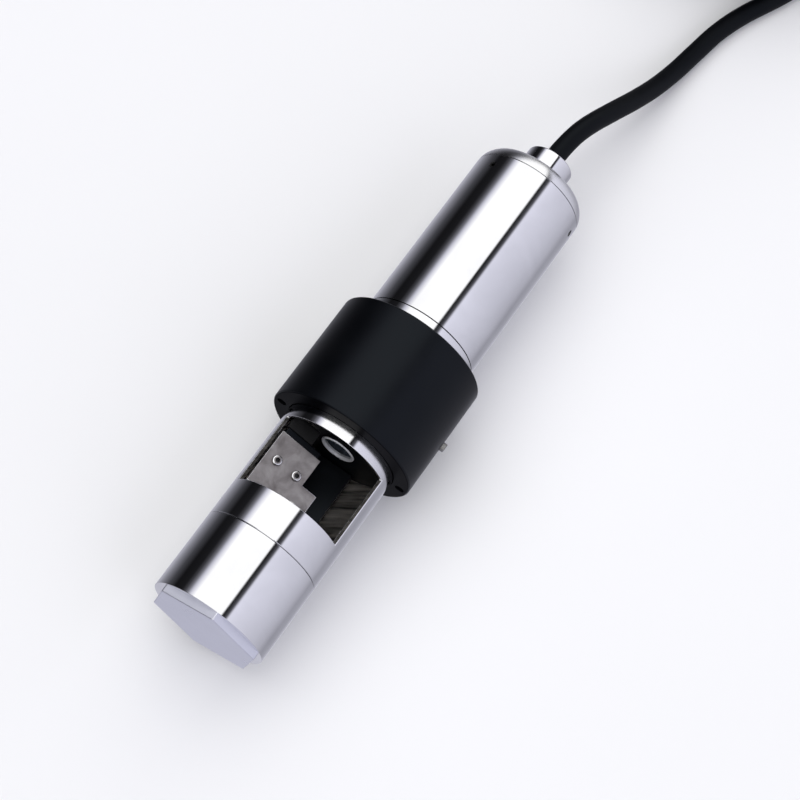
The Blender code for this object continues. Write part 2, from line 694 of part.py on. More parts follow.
def make_upper_bulkhead(probe, mat):
    barrel, thread = LENS_RING_RADIUS, LENS_THREAD
    groove_station = UPPER_FACE + UPPER_DISC_LENGTH / 2
    low, high = groove_station - GROOVE_WIDTH / 2, groove_station + GROOVE_WIDTH / 2
    disc = [
        (UPPER_FACE, barrel + GAP),
        (UPPER_FACE, FITS_CHAMBER),
        (low, FITS_CHAMBER),
        (low, FITS_CHAMBER - GROOVE_DEPTH),
        (high, FITS_CHAMBER - GROOVE_DEPTH),
        (high, FITS_CHAMBER),
        (UPPER_BACK, FITS_CHAMBER),
        (UPPER_BACK, thread + GAP),
        (UPPER_BACK - LENS_SHOULDER, thread + GAP),
        (UPPER_BACK - LENS_SHOULDER, barrel + GAP),
    ]
    bulkhead = turned("upper_bulkhead", [disc], mat["black"], probe)
    wire_hole = [axial(UPPER_FACE - PAST, UPPER_BACK + PAST, DUCT_BORE, DUCT_BORE_HEIGHT)]
    cut(bulkhead, rods("cutter_upper_wire_hole", wire_hole, mat["black"], probe))
    ring = ring_profile(groove_station, CHAMBER_BORE - RING_GAP)
    turned("upper_bulkhead_o_ring", [ring], mat["rubber"], probe, DISC_SIDES)

    lens_from = UPPER_FACE + LENS_SETBACK
    lens_to = lens_from + LENS_THICKNESS
    gasket_to = lens_to + GAP + GASKET_THICKNESS
    ledge = gasket_to + GAP
    barrel_end = UPPER_FACE + LENS_BARREL_LENGTH
    shoulder = UPPER_BACK - LENS_SHOULDER - GAP
    lens_hole = LENS_RADIUS - LENS_LEDGE
    holder = [
        (UPPER_FACE - GAP, LENS_RADIUS),
        (UPPER_FACE - GAP, barrel),
        (shoulder, barrel),
        (shoulder, thread),
        (barrel_end, thread),
        (barrel_end, lens_hole),
        (ledge, lens_hole),
        (ledge, LENS_RADIUS),
    ]
    turned("lens_ring", [holder], mat["steel"], probe, DISC_SIDES)
    edge = LENS_RADIUS - GAP
    glass = [(lens_from, 0), (lens_from, edge), (lens_to, edge), (lens_to, 0)]
    turned("lens", [glass], mat["glass"], probe, DISC_SIDES)
    gasket = pipe_profile(lens_to + GAP, gasket_to, lens_hole, edge)
    turned("lens_gasket", [gasket], mat["rubber"], probe, DISC_SIDES)
    nut_from = UPPER_BACK + GAP
    nut_to = nut_from + LENS_NUT_HEIGHT
    nut = [axial(nut_from, nut_to, barrel + LENS_NUT_WALL)]
    lens_nut = rods("lens_nut", nut, mat["satin"], probe, HEX_SIDES)
    through = [axial(nut_from - PAST, nut_to + PAST, thread + GAP)]
    cut(lens_nut, rods("cutter_lens_nut", through, mat["satin"], probe, DISC_SIDES))


def make_wire_duct(probe, mat):
    half = asin(DUCT_WIDTH / 2 / FITS_CHAMBER)
    steps = 6
    arc = [around(FITS_CHAMBER, pi + half * (2 * k / steps - 1)) for k in range(steps + 1)]
    top = DUCT_DEPTH - FITS_CHAMBER
    outline = [*arc, (arc[-1][0], top), (arc[0][0], top)]
    bm = bmesh.new()
    add_prism(bm, outline, LOWER_FACE + GAP, UPPER_FACE - GAP)
    duct = finish_mesh("wire_duct", bm, mat["black"], probe)
    bore = [axial(LOWER_FACE - PAST, UPPER_FACE + PAST, DUCT_BORE, DUCT_BORE_HEIGHT)]
    cut(duct, rods("cutter_duct_bore", bore, mat["black"], probe))


def make_lower_bulkhead(probe, mat):
    station = (LOWER_BACK + LOWER_FACE) / 2
    low, high = station - GROOVE_WIDTH / 2, station + GROOVE_WIDTH / 2
    disc = [
        (LOWER_BACK, 0),
        (LOWER_BACK, FITS_CHAMBER),
        (low, FITS_CHAMBER),
        (low, FITS_CHAMBER - GROOVE_DEPTH),
        (high, FITS_CHAMBER - GROOVE_DEPTH),
        (high, FITS_CHAMBER),
        (LOWER_FACE, FITS_CHAMBER),
        (LOWER_FACE, 0),
    ]
    bulkhead = turned("lower_bulkhead", [disc], mat["black"], probe)
    ring = ring_profile(station, CHAMBER_BORE - RING_GAP)
    turned("lower_bulkhead_o_ring", [ring], mat["rubber"], probe, DISC_SIDES)

    bush = SHAFT_BORE + BUSH_WALL
    seal = SHAFT_BORE + SEAL_WALL
    split = LOWER_BACK + BUSH_SHARE * (LOWER_FACE - LOWER_BACK)
    below, above = LOWER_BACK - PAST, LOWER_FACE + PAST
    holes = [
        axial(below, above, DUCT_BORE, DUCT_BORE_HEIGHT),
        axial(below, above, bush + GAP, SHAFT_HEIGHT),
    ]
    cut(bulkhead, rods("cutter_lower_holes", holes, mat["black"], probe))
    pocket = [axial(split, above, seal + GAP, SHAFT_HEIGHT)]
    cut(bulkhead, rods("cutter_seal_pocket", pocket, mat["black"], probe))
    bush_profile = pipe_profile(LOWER_BACK, split - GAP, SHAFT_BORE, bush)
    turned("shaft_bush", [bush_profile], mat["bronze"], probe, SMALL_SIDES, SHAFT_HEIGHT)
    seal_profile = pipe_profile(split + GAP, LOWER_FACE - GAP, SHAFT_BORE, seal)
    turned("shaft_seal", [seal_profile], mat["rubber"], probe, SMALL_SIDES, SHAFT_HEIGHT)


def make_motor(probe, mat):
    plate_to = SPIGOT_END
    plate_from = plate_to - MOTOR_PLATE
    gearbox_to = plate_from - GAP
    gearbox_from = gearbox_to - GEARBOX_LENGTH
    motor_to = gearbox_from - GAP
    motor_from = motor_to - MOTOR_LENGTH

    disc = [(plate_from, 0), (plate_from, FITS_HOUSING), (plate_to, FITS_HOUSING), (plate_to, 0)]
    plate = turned("motor_plate", [disc], mat["satin"], probe)
    body = [axial(gearbox_from, gearbox_to, MOTOR_RADIUS, SHAFT_HEIGHT)]
    gearbox = rods("gearbox", body, mat["can"], probe, DISC_SIDES)
    can = [axial(motor_from, motor_to, MOTOR_RADIUS - MOTOR_STEP, SHAFT_HEIGHT)]
    rods("motor_can", can, mat["can"], probe, DISC_SIDES)

    screw_top = plate_to - GAP
    head_from = screw_top - MOTOR_SCREW_HEAD_HEIGHT
    screw_end = gearbox_to - MOTOR_SCREW_DEPTH
    below, above = plate_from - PAST, plate_to + PAST
    screw, head = MOTOR_SCREW_RADIUS, MOTOR_SCREW_HEAD
    holes = [
        axial(below, above, SHAFT_BORE, SHAFT_HEIGHT),
        axial(below, above, DUCT_BORE, DUCT_BORE_HEIGHT),
    ]
    sinks = []
    blind = [axial(gearbox_to - SHAFT_IN_GEARBOX - PAST, plate_from, SHAFT_BORE, SHAFT_HEIGHT)]
    for number, y in enumerate((-MOTOR_SCREW_SPREAD, MOTOR_SCREW_SPREAD), 1):
        shank = [axial(screw_end, screw_top - GAP, screw, SHAFT_HEIGHT, y)]
        motor_screw = rods(f"motor_screw_{number}", shank, mat["satin"], probe, TINY_SIDES)
        cap = [axial(head_from, screw_top, head, SHAFT_HEIGHT, y)]
        join(motor_screw, rods(f"cutter_motor_screw_head_{number}", cap, mat["satin"], probe))
        holes.append(axial(below, above, screw + GAP, SHAFT_HEIGHT, y))
        sinks.append(axial(head_from - GAP, above, head + GAP, SHAFT_HEIGHT, y))
        blind.append(axial(screw_end - GAP, plate_from, screw + GAP, SHAFT_HEIGHT, y))
    cut(plate, rods("cutter_motor_plate_holes", holes, mat["satin"], probe))
    cut(plate, rods("cutter_motor_plate_sinks", sinks, mat["satin"], probe))
    cut(gearbox, rods("cutter_gearbox", blind, mat["can"], probe))
    return motor_from, gearbox_to


def make_wiper(wiper, mat, gearbox_to):
    """Everything that turns, built about the shaft's axis: Y runs along the arm and Z out of the window."""
    shaft_end = HUB_END - HUB_OVER_SHAFT
    shaft = [axial(gearbox_to - SHAFT_IN_GEARBOX, shaft_end, SHAFT_RADIUS)]
    rods("wiper_shaft", shaft, mat["satin"], wiper)
    hub = pipe_profile(HUB_START, HUB_END, SHAFT_BORE, HUB_RADIUS)
    turned("wiper_hub", [hub], mat["steel"], wiper, SMALL_SIDES)

    front, back = -PLATE_OFFSET, PLATE_BACK
    foot_top = WINDOW_START + FOOT_TOP
    outline = [
        (BRACKET_BOTTOM, -FOOT_REACH),
        (BRACKET_BOTTOM, PLATE_REACH),
        (BRACKET_TOP, PLATE_REACH),
        (BRACKET_TOP, 0),
        (foot_top, 0),
        (foot_top, -FOOT_REACH),
    ]
    bm = bmesh.new()
    add_prism(bm, outline, back, front, axes=(0, 1))
    bracket = finish_mesh("wiper_bracket", bm, mat["satin"], wiper)
    half = HUB_RADIUS + SHELF_MARGIN
    shelf_top = BRACKET_BOTTOM + SHEET
    shelf = [(BRACKET_BOTTOM, -half, back + SUNK), (shelf_top, half, half)]
    tab = [
        (BRACKET_BOTTOM + TAB_START, -FOOT_REACH, back - TAB_DEPTH),
        (foot_top, -FOOT_REACH + SHEET, back + SUNK),
    ]
    join(bracket, boxes("cutter_bracket_shelf", [shelf], mat["satin"], wiper))
    join(bracket, boxes("cutter_bracket_tab", [tab], mat["satin"], wiper))

    block_front = back - GAP
    block_back = block_front - BLOCK_DEPTH
    block_low = (BRACKET_BOTTOM + BLOCK_START, BLOCK_FROM_SHAFT, block_back)
    block_high = (BLOCK_TOP, BLADE_REACH - BLOCK_BLADE_STEP, block_front)
    block = boxes("blade_block", [(block_low, block_high)], mat["black"], wiper)
    blade_front = block_front - BLOCK_BLADE_STEP
    blade_low = (BLOCK_TOP + GAP, BLADE_FROM_SHAFT, blade_front - BLADE_DEPTH)
    blade_high = (BLADE_TOP, BLADE_REACH, blade_front)
    boxes("wiper_blade", [(blade_low, blade_high)], mat["rubber"], wiper)

    middle = PLATE_REACH / 2 - SHELF_MARGIN
    tip = block_front - BRACKET_SCREW_DEPTH
    top = front + GAP + BRACKET_SCREW_HEAD_HEIGHT
    holes = []
    for number, offset in enumerate((-BRACKET_SCREW_SPACING / 2, BRACKET_SCREW_SPACING / 2), 1):
        at = (BRACKET_SCREW_STATION, middle + offset)
        shank = [((*at, tip), (*at, top - SUNK), BRACKET_SCREW_RADIUS)]
        head = [((*at, front + GAP), (*at, top), BRACKET_SCREW_HEAD)]
        socket_floor = top - BRACKET_SOCKET_DEPTH
        socket = [((*at, socket_floor), (*at, top + PAST), BRACKET_SCREW_SOCKET)]
        screw = rods(f"bracket_screw_{number}", shank, mat["satin"], wiper)
        join(screw, rods(f"cutter_bracket_screw_head_{number}", head, mat["satin"], wiper))
        cut(screw, rods(f"cutter_bracket_socket_{number}", socket, mat["satin"], wiper, HEX_SIDES))
        holes.append(((*at, tip - GAP), (*at, front + PAST), BRACKET_SCREW_RADIUS + GAP))
    hole_cutter = rods("cutter_bracket_holes", holes, mat["satin"], wiper)
    cut(bracket, hole_cutter)
    cut(block, hole_cutter)

    shank = [axial(shaft_end + GAP, shelf_top + PAST, HUB_SCREW_RADIUS)]
    hub_screw = rods("hub_screw", shank, mat["satin"], wiper)
    head = [axial(shelf_top + GAP, shelf_top + GAP + SCREW_HEAD_HEIGHT, HUB_SCREW_HEAD)]
    join(hub_screw, rods("cutter_hub_screw_head", head, mat["satin"], wiper))
    through = [axial(BRACKET_BOTTOM - PAST, shelf_top + PAST, HUB_SCREW_RADIUS + GAP)]
    cut(bracket, rods("cutter_shelf_hole", through, mat["satin"], wiper))


def make_optic_board(probe, mat):
    start, end = OPTIC_BOARD_START, OPTIC_BOARD_END
    disc = [(start, 0), (start, OPTIC_BOARD_RADIUS), (end, OPTIC_BOARD_RADIUS), (end, 0)]
    board = turned("optic_board", [disc], mat["board"], probe, DISC_SIDES)
    holes = []
    for number, side in enumerate((-1, 1), 1):
        y = side * (OPTIC_BOARD_RADIUS - STANDOFF_INSET)
        post = [axial(UPPER_BACK + GAP, start - GAP, STANDOFF_RADIUS, y=y)]
        standoff = rods(f"optic_standoff_{number}", post, mat["bronze"], probe, TINY_SIDES)
        shank = [axial(start - PAST, end + PAST, SCREW_RADIUS, y=y)]
        head = [axial(end + GAP, end + GAP + SCREW_HEAD_HEIGHT, SCREW_HEAD, y=y)]
        join(standoff, rods(f"cutter_optic_shank_{number}", shank, mat["satin"], probe, TINY_SIDES))
        join(standoff, rods(f"cutter_optic_head_{number}", head, mat["satin"], probe, TINY_SIDES + 2))
        holes.append(axial(start - PAST, end + PAST, SCREW_RADIUS + GAP, y=y))
    cut(board, rods("cutter_optic_board", holes, mat["board"], probe, TINY_SIDES))
    face = start - GAP
    for number, z in enumerate((-LIGHT_HEIGHT, LIGHT_HEIGHT), 1):
        light = [axial(face - LIGHT_LENGTH, face, LIGHT_RADIUS, z)]
        rods(f"light_source_{number}", light, mat["glass"], probe, TINY_SIDES)
    cell = [axial(face - CELL_LENGTH, face, CELL_RADIUS, y=CELL_OFFSET)]
    rods("photodiode", cell, mat["can"], probe, TINY_SIDES)


def make_main_board(probe, mat, motor_from):
    start, half = MAIN_BOARD_FROM, BOARD_HALF_WIDTH
    long = [(start, -half, BOARD_BOTTOM), (MAIN_BOARD_TO, half, BOARD_TOP)]
    board = boxes("main_board", [long], mat["board"], probe)
    sunk = BOARD_TOP - SUNK
    chips = []
    for x, y, length, width, tall in CHIPS_MM:
        low = (start + x * MM, y * MM, sunk)
        chips.append((low, (low[0] + length * MM, low[1] + width * MM, BOARD_TOP + tall * MM)))
    join(board, boxes("cutter_board_chips", chips, mat["chip"], probe))
    cans = []
    for x, y in CAPACITORS_MM:
        foot, top = (start + x * MM, y * MM, sunk), (start + x * MM, y * MM, BOARD_TOP + CAPACITOR_HEIGHT)
        cans.append((foot, top, CAPACITOR_RADIUS))
    join(board, rods("cutter_board_cans", cans, mat["can"], probe, TINY_SIDES))
    on_board = BOARD_TOP + GAP
    for number, side in enumerate((-1, 1), 1):
        y = side * RAIL_SPREAD
        rail = [axial(UPPER_BACK + GAP, RAIL_END, RAIL_RADIUS, RAIL_HEIGHT, y)]
        rods(f"board_rail_{number}", rail, mat["satin"], probe, TINY_SIDES)
        x = MAIN_BOARD_TO - BOARD_SCREW_INSET
        head = [((x, y, on_board), (x, y, on_board + SCREW_HEAD_HEIGHT), SCREW_HEAD)]
        rods(f"board_screw_{number}", head, mat["satin"], probe, TINY_SIDES)

    block_from = MAIN_BOARD_TO - TERMINAL_INSET
    block_to = block_from + TERMINAL_LENGTH
    half = TERMINAL_HALF_WIDTH
    block = [(block_from, -half, on_board), (block_to, half, on_board + TERMINAL_HEIGHT)]
    terminal = boxes("terminal_block", [block], mat["terminal"], probe)
    entry = on_board + TERMINAL_HEIGHT / 2
    ways = [k * TERMINAL_PITCH for k in (-1.5, -0.5, 0.5, 1.5)]
    mouth_from = block_to - TERMINAL_MOUTH_DEPTH
    mouths = [axial(mouth_from, block_to + PAST, TERMINAL_MOUTH, entry, y) for y in ways]
    cut(terminal, rods("cutter_terminal", mouths, mat["terminal"], probe, TINY_SIDES))
    jacket_from = GLAND_STEM_END - JACKET_IN_STEM
    jacket = [axial(jacket_from, PROBE_LENGTH - GAP, CABLE_RADIUS)]
    inner = rods("inner_cable", jacket, mat["jacket"], probe)
    bend = block_to + CORE_BEND
    for number, y in enumerate(ways, 1):
        wire = [axial(mouth_from + PAST, bend, WIRE_RADIUS, entry, y)]
        into = (jacket_from + PAST, y * WIRES_IN_JACKET, 0)
        slope = [((bend - CORE_OVERLAP, y, entry), into, WIRE_RADIUS - CORE_STEP)]
        join(inner, rods(f"cutter_core_slope_{number}", slope, mat["core"], probe, TINY_SIDES))
        join(inner, rods(f"cutter_core_wire_{number}", wire, mat["core"], probe, TINY_SIDES))

    duct = DUCT_BORE_HEIGHT
    plug_at = start + PLUG_START
    plug_top = BOARD_BOTTOM - GAP
    plug_low = plug_top - PLUG_HEIGHT
    half = PLUG_HALF_WIDTH
    plug = [(plug_at, -half, plug_low), (plug_at + PLUG_LENGTH, half, plug_top)]
    boxes("motor_plug", [plug], mat["terminal"], probe)
    side = SHAFT_HEIGHT - MOTOR_RADIUS
    x = motor_from - LEAD_RADIUS - LEAD_OFF_MOTOR
    lead = [(x, 0, side + up * MM) for up in LEAD_BEFORE_MOTOR_MM]
    lead += [(motor_from + x * MM, 0, duct + up * MM) for x, up in LEAD_OVER_MOTOR_MM]
    lead += [(x, 0, duct) for x in (LOWER_BACK, UPPER_FACE, UPPER_BACK + LEAD_STRAIGHT)]
    lead.append((OPTIC_BOARD_END, 0, duct + LEAD_PAST_OPTICS))
    lead += [(plug_at + x * MM, 0, plug_low + up * MM) for x, up in LEAD_TO_PLUG_MM]
    tubes("motor_lead", [lead], LEAD_RADIUS, mat["jacket"], probe, 5 * LEAD_RADIUS, 2)


def hank_measures():
    """The straight run that puts the rest of the cable into the hank's turns, and the hank's edges."""
    folds = [HANK_INNER_FOLD + k * HANK_PITCH for k in range(HANK_COLUMNS)]
    points = smooth_points(CABLE_ROUTE, CABLE_RADIUS)
    laid = sum((b - a).length for a, b in zip(points, points[1:])) + CABLE_TAIL
    turns = HANK_COLUMNS * HANK_LAYERS
    run = ((CABLE_LENGTH - laid) / turns - 2 * pi * sum(folds) / len(folds)) / 2
    half_pitch = HANK_PITCH / 2
    bottom = STRAP_THICKNESS + GAP
    return run, folds[0] - half_pitch, folds[-1] + half_pitch, bottom, bottom + HANK_LAYERS * HANK_PITCH


def stadium(near, run, radius, steps=10):
    """Outline of a run with round ends, about the X axis."""
    far = [pi * (k / steps - 0.5) for k in range(steps + 1)]
    outline = [(near + run + radius * cos(a), radius * sin(a)) for a in far]
    return outline + [(near - radius * cos(a), -radius * sin(a)) for a in far]


def make_cable(mat):
    tubes("cable_run", [CABLE_ROUTE], CABLE_RADIUS, mat["jacket"], None, 4.6 * CABLE_RADIUS, 3)
    run, inner, outer, bottom, top = hank_measures()
    bm = bmesh.new()
    add_prism(bm, stadium(HANK_NEAR_FOLD, run, outer), bottom, top, axes=(0, 1))
    hank = finish_mesh("cable_hank", bm, mat["jacket"], None)
    bm = bmesh.new()
    add_prism(bm, stadium(HANK_NEAR_FOLD, run, inner), bottom - PAST, top + PAST, axes=(0, 1))
    cut(hank, finish_mesh("cutter_hank_middle", bm, mat["jacket"], None))

    strap_to = HANK_NEAR_FOLD + run - STRAP_TO_FOLD
    strap_from = strap_to - STRAP_WIDTH
    inside, thick = outer + GAP, STRAP_THICKNESS
    low, high = bottom - GAP, top + GAP
    band = [(strap_from, -inside - thick, low - thick), (strap_to, inside + thick, high + thick)]
    strap = boxes("hank_strap", [band], mat["rubber"], None)
    middle = [(strap_from - PAST, -inside, low), (strap_to + PAST, inside, high)]
    cut(strap, boxes("cutter_strap", [middle], mat["rubber"], None))

    side = -(inner + outer) / 2
    rest = top + SLEEVE_RADIUS + GAP
    tail_from = HANK_NEAR_FOLD + TAIL_START
    tail_to = tail_from + CABLE_TAIL
    sleeve_to = tail_to + GAP + SLEEVE_LENGTH
    tail = [axial(tail_from, tail_to, CABLE_RADIUS, rest, side)]
    rods("cable_tail", tail, mat["jacket"], None)
    sleeve = [axial(tail_to + GAP, sleeve_to, SLEEVE_RADIUS, rest, side)]
    end = rods("cable_end", sleeve, mat["rubber"], None)
    level = top + CORE_RADIUS + GAP
    for k in (-1.5, -0.5, 0.5, 1.5):
        y = side + k * CORE_SPREAD
        knee = sleeve_to + CORE_FALL_SHARE * CORE_LENGTH
        leaves = (sleeve_to - CORE_DROP, side + k * CORE_SPREAD_IN_SLEEVE, rest - CORE_DROP)
        slope = [(leaves, (knee, y, level), CORE_RADIUS)]
        flat = [axial(knee - CORE_RADIUS / 2, sleeve_to + CORE_LENGTH, CORE_RADIUS, level, y)]
        join(end, rods(f"cutter_core_slope_end_{k}", slope, mat["core"], None, TINY_SIDES))
        join(end, rods(f"cutter_core_flat_end_{k}", flat, mat["core"], None, TINY_SIDES))


def main():
    clear_scene()
    mat = make_materials()
    probe = new_empty("probe", location=(-PROBE_LENGTH / 2, 0, COLLAR_RADIUS))
    wiper = new_empty("wiper_axis", probe, (0, 0, SHAFT_HEIGHT), ARM_ANGLE)
    make_housings(probe, mat)
    make_collar(probe, mat)
    make_gland(probe, mat)
    make_upper_bulkhead(probe, mat)
    make_wire_duct(probe, mat)
    make_lower_bulkhead(probe, mat)
    motor_from, gearbox_to = make_motor(probe, mat)
    make_wiper(wiper, mat, gearbox_to)
    make_optic_board(probe, mat)
    make_main_board(probe, mat, motor_from)
    make_cable(mat)


main()
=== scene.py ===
"""Looks of a water quality probe with a wiped sample chamber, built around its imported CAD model.

Everything is in metres in the model's frame: +X runs from the probe's hexagon end to its cable end, +Z is up,
and the floor is at zero. The probe lies on its collar with the sample window facing up.
"""

from math import asin, cos, pi, radians, sin, sqrt

import bmesh
import bpy
from mathutils import Matrix, Vector


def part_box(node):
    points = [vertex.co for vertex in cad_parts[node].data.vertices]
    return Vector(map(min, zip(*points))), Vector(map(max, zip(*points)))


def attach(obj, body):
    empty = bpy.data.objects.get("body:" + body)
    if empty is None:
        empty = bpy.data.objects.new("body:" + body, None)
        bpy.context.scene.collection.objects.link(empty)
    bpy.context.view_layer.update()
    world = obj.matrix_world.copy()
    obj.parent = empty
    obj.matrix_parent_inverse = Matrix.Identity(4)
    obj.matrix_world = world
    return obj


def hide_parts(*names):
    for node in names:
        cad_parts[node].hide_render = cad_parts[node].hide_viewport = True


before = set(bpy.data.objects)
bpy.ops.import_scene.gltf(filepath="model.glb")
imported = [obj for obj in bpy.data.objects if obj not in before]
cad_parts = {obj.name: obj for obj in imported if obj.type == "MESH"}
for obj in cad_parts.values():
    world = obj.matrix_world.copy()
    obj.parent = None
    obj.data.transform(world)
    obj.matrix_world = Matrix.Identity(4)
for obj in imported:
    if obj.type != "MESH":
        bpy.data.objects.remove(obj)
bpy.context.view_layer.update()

MM = 0.001
GAP = 0.3 * MM

# The probe, as in its CAD model
AXIS = 39.1 * MM
HEX_END = -149.2 * MM
TUBE_RADIUS = 30.0 * MM
SEAT_RADIUS = 28.0 * MM  # where one shell or bulkhead enters the next
HOUSING_BORE = 26.0 * MM
CHAMBER_BORE = 28.3 * MM
WINDOW_HALF_ANGLE = radians(65)
COLLAR_RADIUS = 39.1 * MM
COLLAR_BORE = 30.3 * MM
COLLAR_TURN = radians(-7)
DUCT_HOLE = 2.6 * MM
DUCT_HOLE_HEIGHT = AXIS - 23.75 * MM
SHELL_SIDES = 216


def station(height):
    """X of a height above the hexagon end, given in millimetres."""
    return HEX_END + height * MM


SEAM_LOW = station(45.4)
WINDOW_START = station(65.1)
WINDOW_END = station(103.5)
UPPER_FACE = station(108.0)
UPPER_BACK = station(119.0)
COLLAR_START = station(110.7)
COLLAR_END = station(170.9)
SEAM_HIGH = station(178.2)
RIM = station(274.5)
CAP_TOP = station(282.0)
GLAND_TOP = station(298.4)

# The wiper, in its own frame: Y along the arm from the shaft, Z out of the window
SHAFT_HEIGHT = 16.0 * MM
ARM_ANGLE = radians(17)
PLATE_FRONT = -6.45 * MM
SHEET = 1.2 * MM
PLATE_REACH = 22.72 * MM
WIPER = Matrix.Translation((0, 0, AXIS + SHAFT_HEIGHT)) @ Matrix.Rotation(ARM_ANGLE, 4, "X")

# The cable
CABLE_RADIUS = 5.2 * MM
CABLE_LENGTH = 10.0
CABLE_ROUTE = [
    (0.1495, 0.0000, 0.0391),
    (0.1600, -0.0004, 0.0389),
    (0.1720, -0.0018, 0.0376),
    (0.1840, -0.0045, 0.0347),
    (0.2000, -0.0090, 0.0288),
    (0.2180, -0.0138, 0.0208),
    (0.2360, -0.0178, 0.0135),
    (0.2540, -0.0208, 0.0083),
    (0.2720, -0.0234, 0.0060),
    (0.2900, -0.0266, 0.0056),
    (0.3080, -0.0324, 0.0056),
    (0.3300, -0.0424, 0.0060),
]
CABLE_LEAD = [(0.3450, -0.0482, 0.0062), (0.3620, -0.0523, 0.0064)]
HANK_NEAR_FOLD = 0.3800
HANK_LAYERS = 6
HANK_FOLDS = [33.0 * MM, 43.5 * MM, 54.0 * MM]
HANK_PITCH = 10.5 * MM
HANK_BOTTOM = 1.2 * MM
CABLE_TAIL = 24.0 * MM
TAIL_START = 2.0 * MM
SLEEVE_RADIUS = 6.2 * MM
SLEEVE_LENGTH = 22.0 * MM
CORE_LENGTH = 42.0 * MM
CORE_SPREAD = 3.6 * MM
STRAP_THICKNESS = 0.9 * MM
STRAP_WIDTH = 18.0 * MM
STRAP_TO_FOLD = 6.0 * MM


# ---------------------------------------------------------------- materials

RINGS = (5200, 14, 14)  # turning marks change along the probe, and only slowly round it
STREAK_NORMAL = Vector((0.75, 0.56, 0.35))
COLD_TINT = (0.75, 0.86, 1.0, 1.0)


def add_node(tree, kind, sockets=None, **settings):
    made = tree.nodes.new(kind)
    for key, value in settings.items():
        setattr(made, key, value)
    for socket, value in (sockets or {}).items():
        made.inputs[socket].default_value = value
    return made


def add_ramp(tree, value, colours):
    """A colour ramp over (position, colour) pairs."""
    ramp = tree.nodes.new("ShaderNodeValToRGB")
    elements = ramp.color_ramp.elements
    while len(elements) < len(colours):
        elements.new(0.5)
    for element, (position, colour) in zip(elements, colours):
        element.position = position
        element.color = (*colour, 1.0)
    tree.links.new(value, ramp.inputs["Fac"])
    return ramp.outputs["Color"]


class Nodes:
    """Short forms for building a material's node tree."""

    def __init__(self, name, colour, roughness, metallic=0.0):
        self.material = bpy.data.materials.new(name)
        self.material.use_nodes = True
        self.tree = self.material.node_tree
        self.shader = self.tree.nodes["Principled BSDF"]
        self.set("Base Color", (*colour, 1.0))
        self.set("Roughness", roughness)
        self.set("Metallic", metallic)
        self.material.diffuse_color = (*colour, 1.0)
        self.place = self.node("ShaderNodeTexCoord").outputs["Object"]
        self.bump = None

    def set(self, socket, value):
        self.shader.inputs[socket].default_value = value

    def node(self, kind, sockets=None, **settings):
        return add_node(self.tree, kind, sockets, **settings)

    def link(self, source, target):
        self.tree.links.new(source, target)

    def texture(self, kind, scale, sockets=None, turn=None, **settings):
        """A texture over the object's coordinates, turned and then stretched by one factor or three."""
        source = self.place
        factors = scale if isinstance(scale, tuple) else (scale,) * 3
        for socket, value in (("Rotation", turn), ("Scale", factors)):
            if value:
                mapping = self.node("ShaderNodeMapping", {socket: value})
                self.link(source, mapping.inputs["Vector"])
                source = mapping.outputs["Vector"]
        made = self.node(kind, {"Scale": 1.0, **(sockets or {})}, **settings)
        self.link(source, made.inputs["Vector"])
        return made.outputs

    def noise(self, scale, detail=4.0, roughness=0.55, distortion=0.0, turn=None):
        sockets = {"Detail": detail, "Roughness": roughness, "Distortion": distortion}
        return self.texture("ShaderNodeTexNoise", scale, sockets, turn)["Fac"]

    def cells(self, scale):
        return self.texture("ShaderNodeTexVoronoi", scale)["Distance"]

    def range(self, value, low, high, start=0.3, end=0.7):
        sockets = {"From Min": start, "From Max": end, "To Min": low, "To Max": high}
        mapped = self.node("ShaderNodeMapRange", sockets)
        self.link(value, mapped.inputs["Value"])
        return mapped.outputs["Result"]

    def colour(self, value, colours):
        self.link(add_ramp(self.tree, value, colours), self.shader.inputs["Base Color"])

    def roughen(self, value, low, high, start=0.3, end=0.7):
        self.link(self.range(value, low, high, start, end), self.shader.inputs["Roughness"])

    def raise_by(self, value, depth, strength=1.0):
        """Bump of this depth in metres, on top of any bump before it."""
        bump = self.node("ShaderNodeBump", {"Strength": strength, "Distance": depth})
        self.link(value, bump.inputs["Height"])
        if self.bump:
            self.link(self.bump, bump.inputs["Normal"])
        self.bump = bump.outputs["Normal"]
        self.link(self.bump, self.shader.inputs["Normal"])


def mottled(name, colour, roughness, metallic, grain, tones, rough, bumps=(), sockets=()):
    """Colour and roughness that follow one noise, over bumps of (scale, detail, depth in mm, strength)."""
    n = Nodes(name, colour, roughness, metallic)
    for socket, value in sockets:
        n.set(socket, value)
    spots = n.noise(*grain)
    n.colour(spots, tones)
    n.roughen(spots, *rough)
    for scale, detail, depth, strength in bumps:
        n.raise_by(n.noise(scale, detail), depth * MM, strength)
    return n


def polished_steel(name, colour=(0.83, 0.83, 0.85), low=0.07, high=0.12):
    """Turned along the probe's length, so that reflections blur that way and stay sharp across."""
    tones = [(0.35, tuple(0.93 * c for c in colour)), (0.65, colour)]
    marks = [(RINGS, 2.0, 0.0006, 0.35), (900, 3.0, 0.0008, 0.25)]
    sockets = [("Anisotropic", 0.9), ("Anisotropic Rotation", 0.25)]
    n = mottled(name, colour, low, 1.0, (38, 6.0, 0.55, 0.6), tones, (low, high), marks, sockets)
    around = n.node("ShaderNodeTangent", direction_type="RADIAL", axis="X")
    n.link(around.outputs["Tangent"], n.shader.inputs["Tangent"])
    return n.material


def milled_steel():
    """Hexagon: fine straight cutter marks."""
    tones = [(0.3, (0.70, 0.71, 0.79)), (0.7, (0.78, 0.79, 0.87))]
    marks = [((60, 60, 2600), 2.0, 0.0008, 0.4)]
    colour = (0.72, 0.73, 0.79)
    return mottled("milled_steel", colour, 0.25, 1.0, (60, 4.0), tones, (0.26, 0.34), marks).material


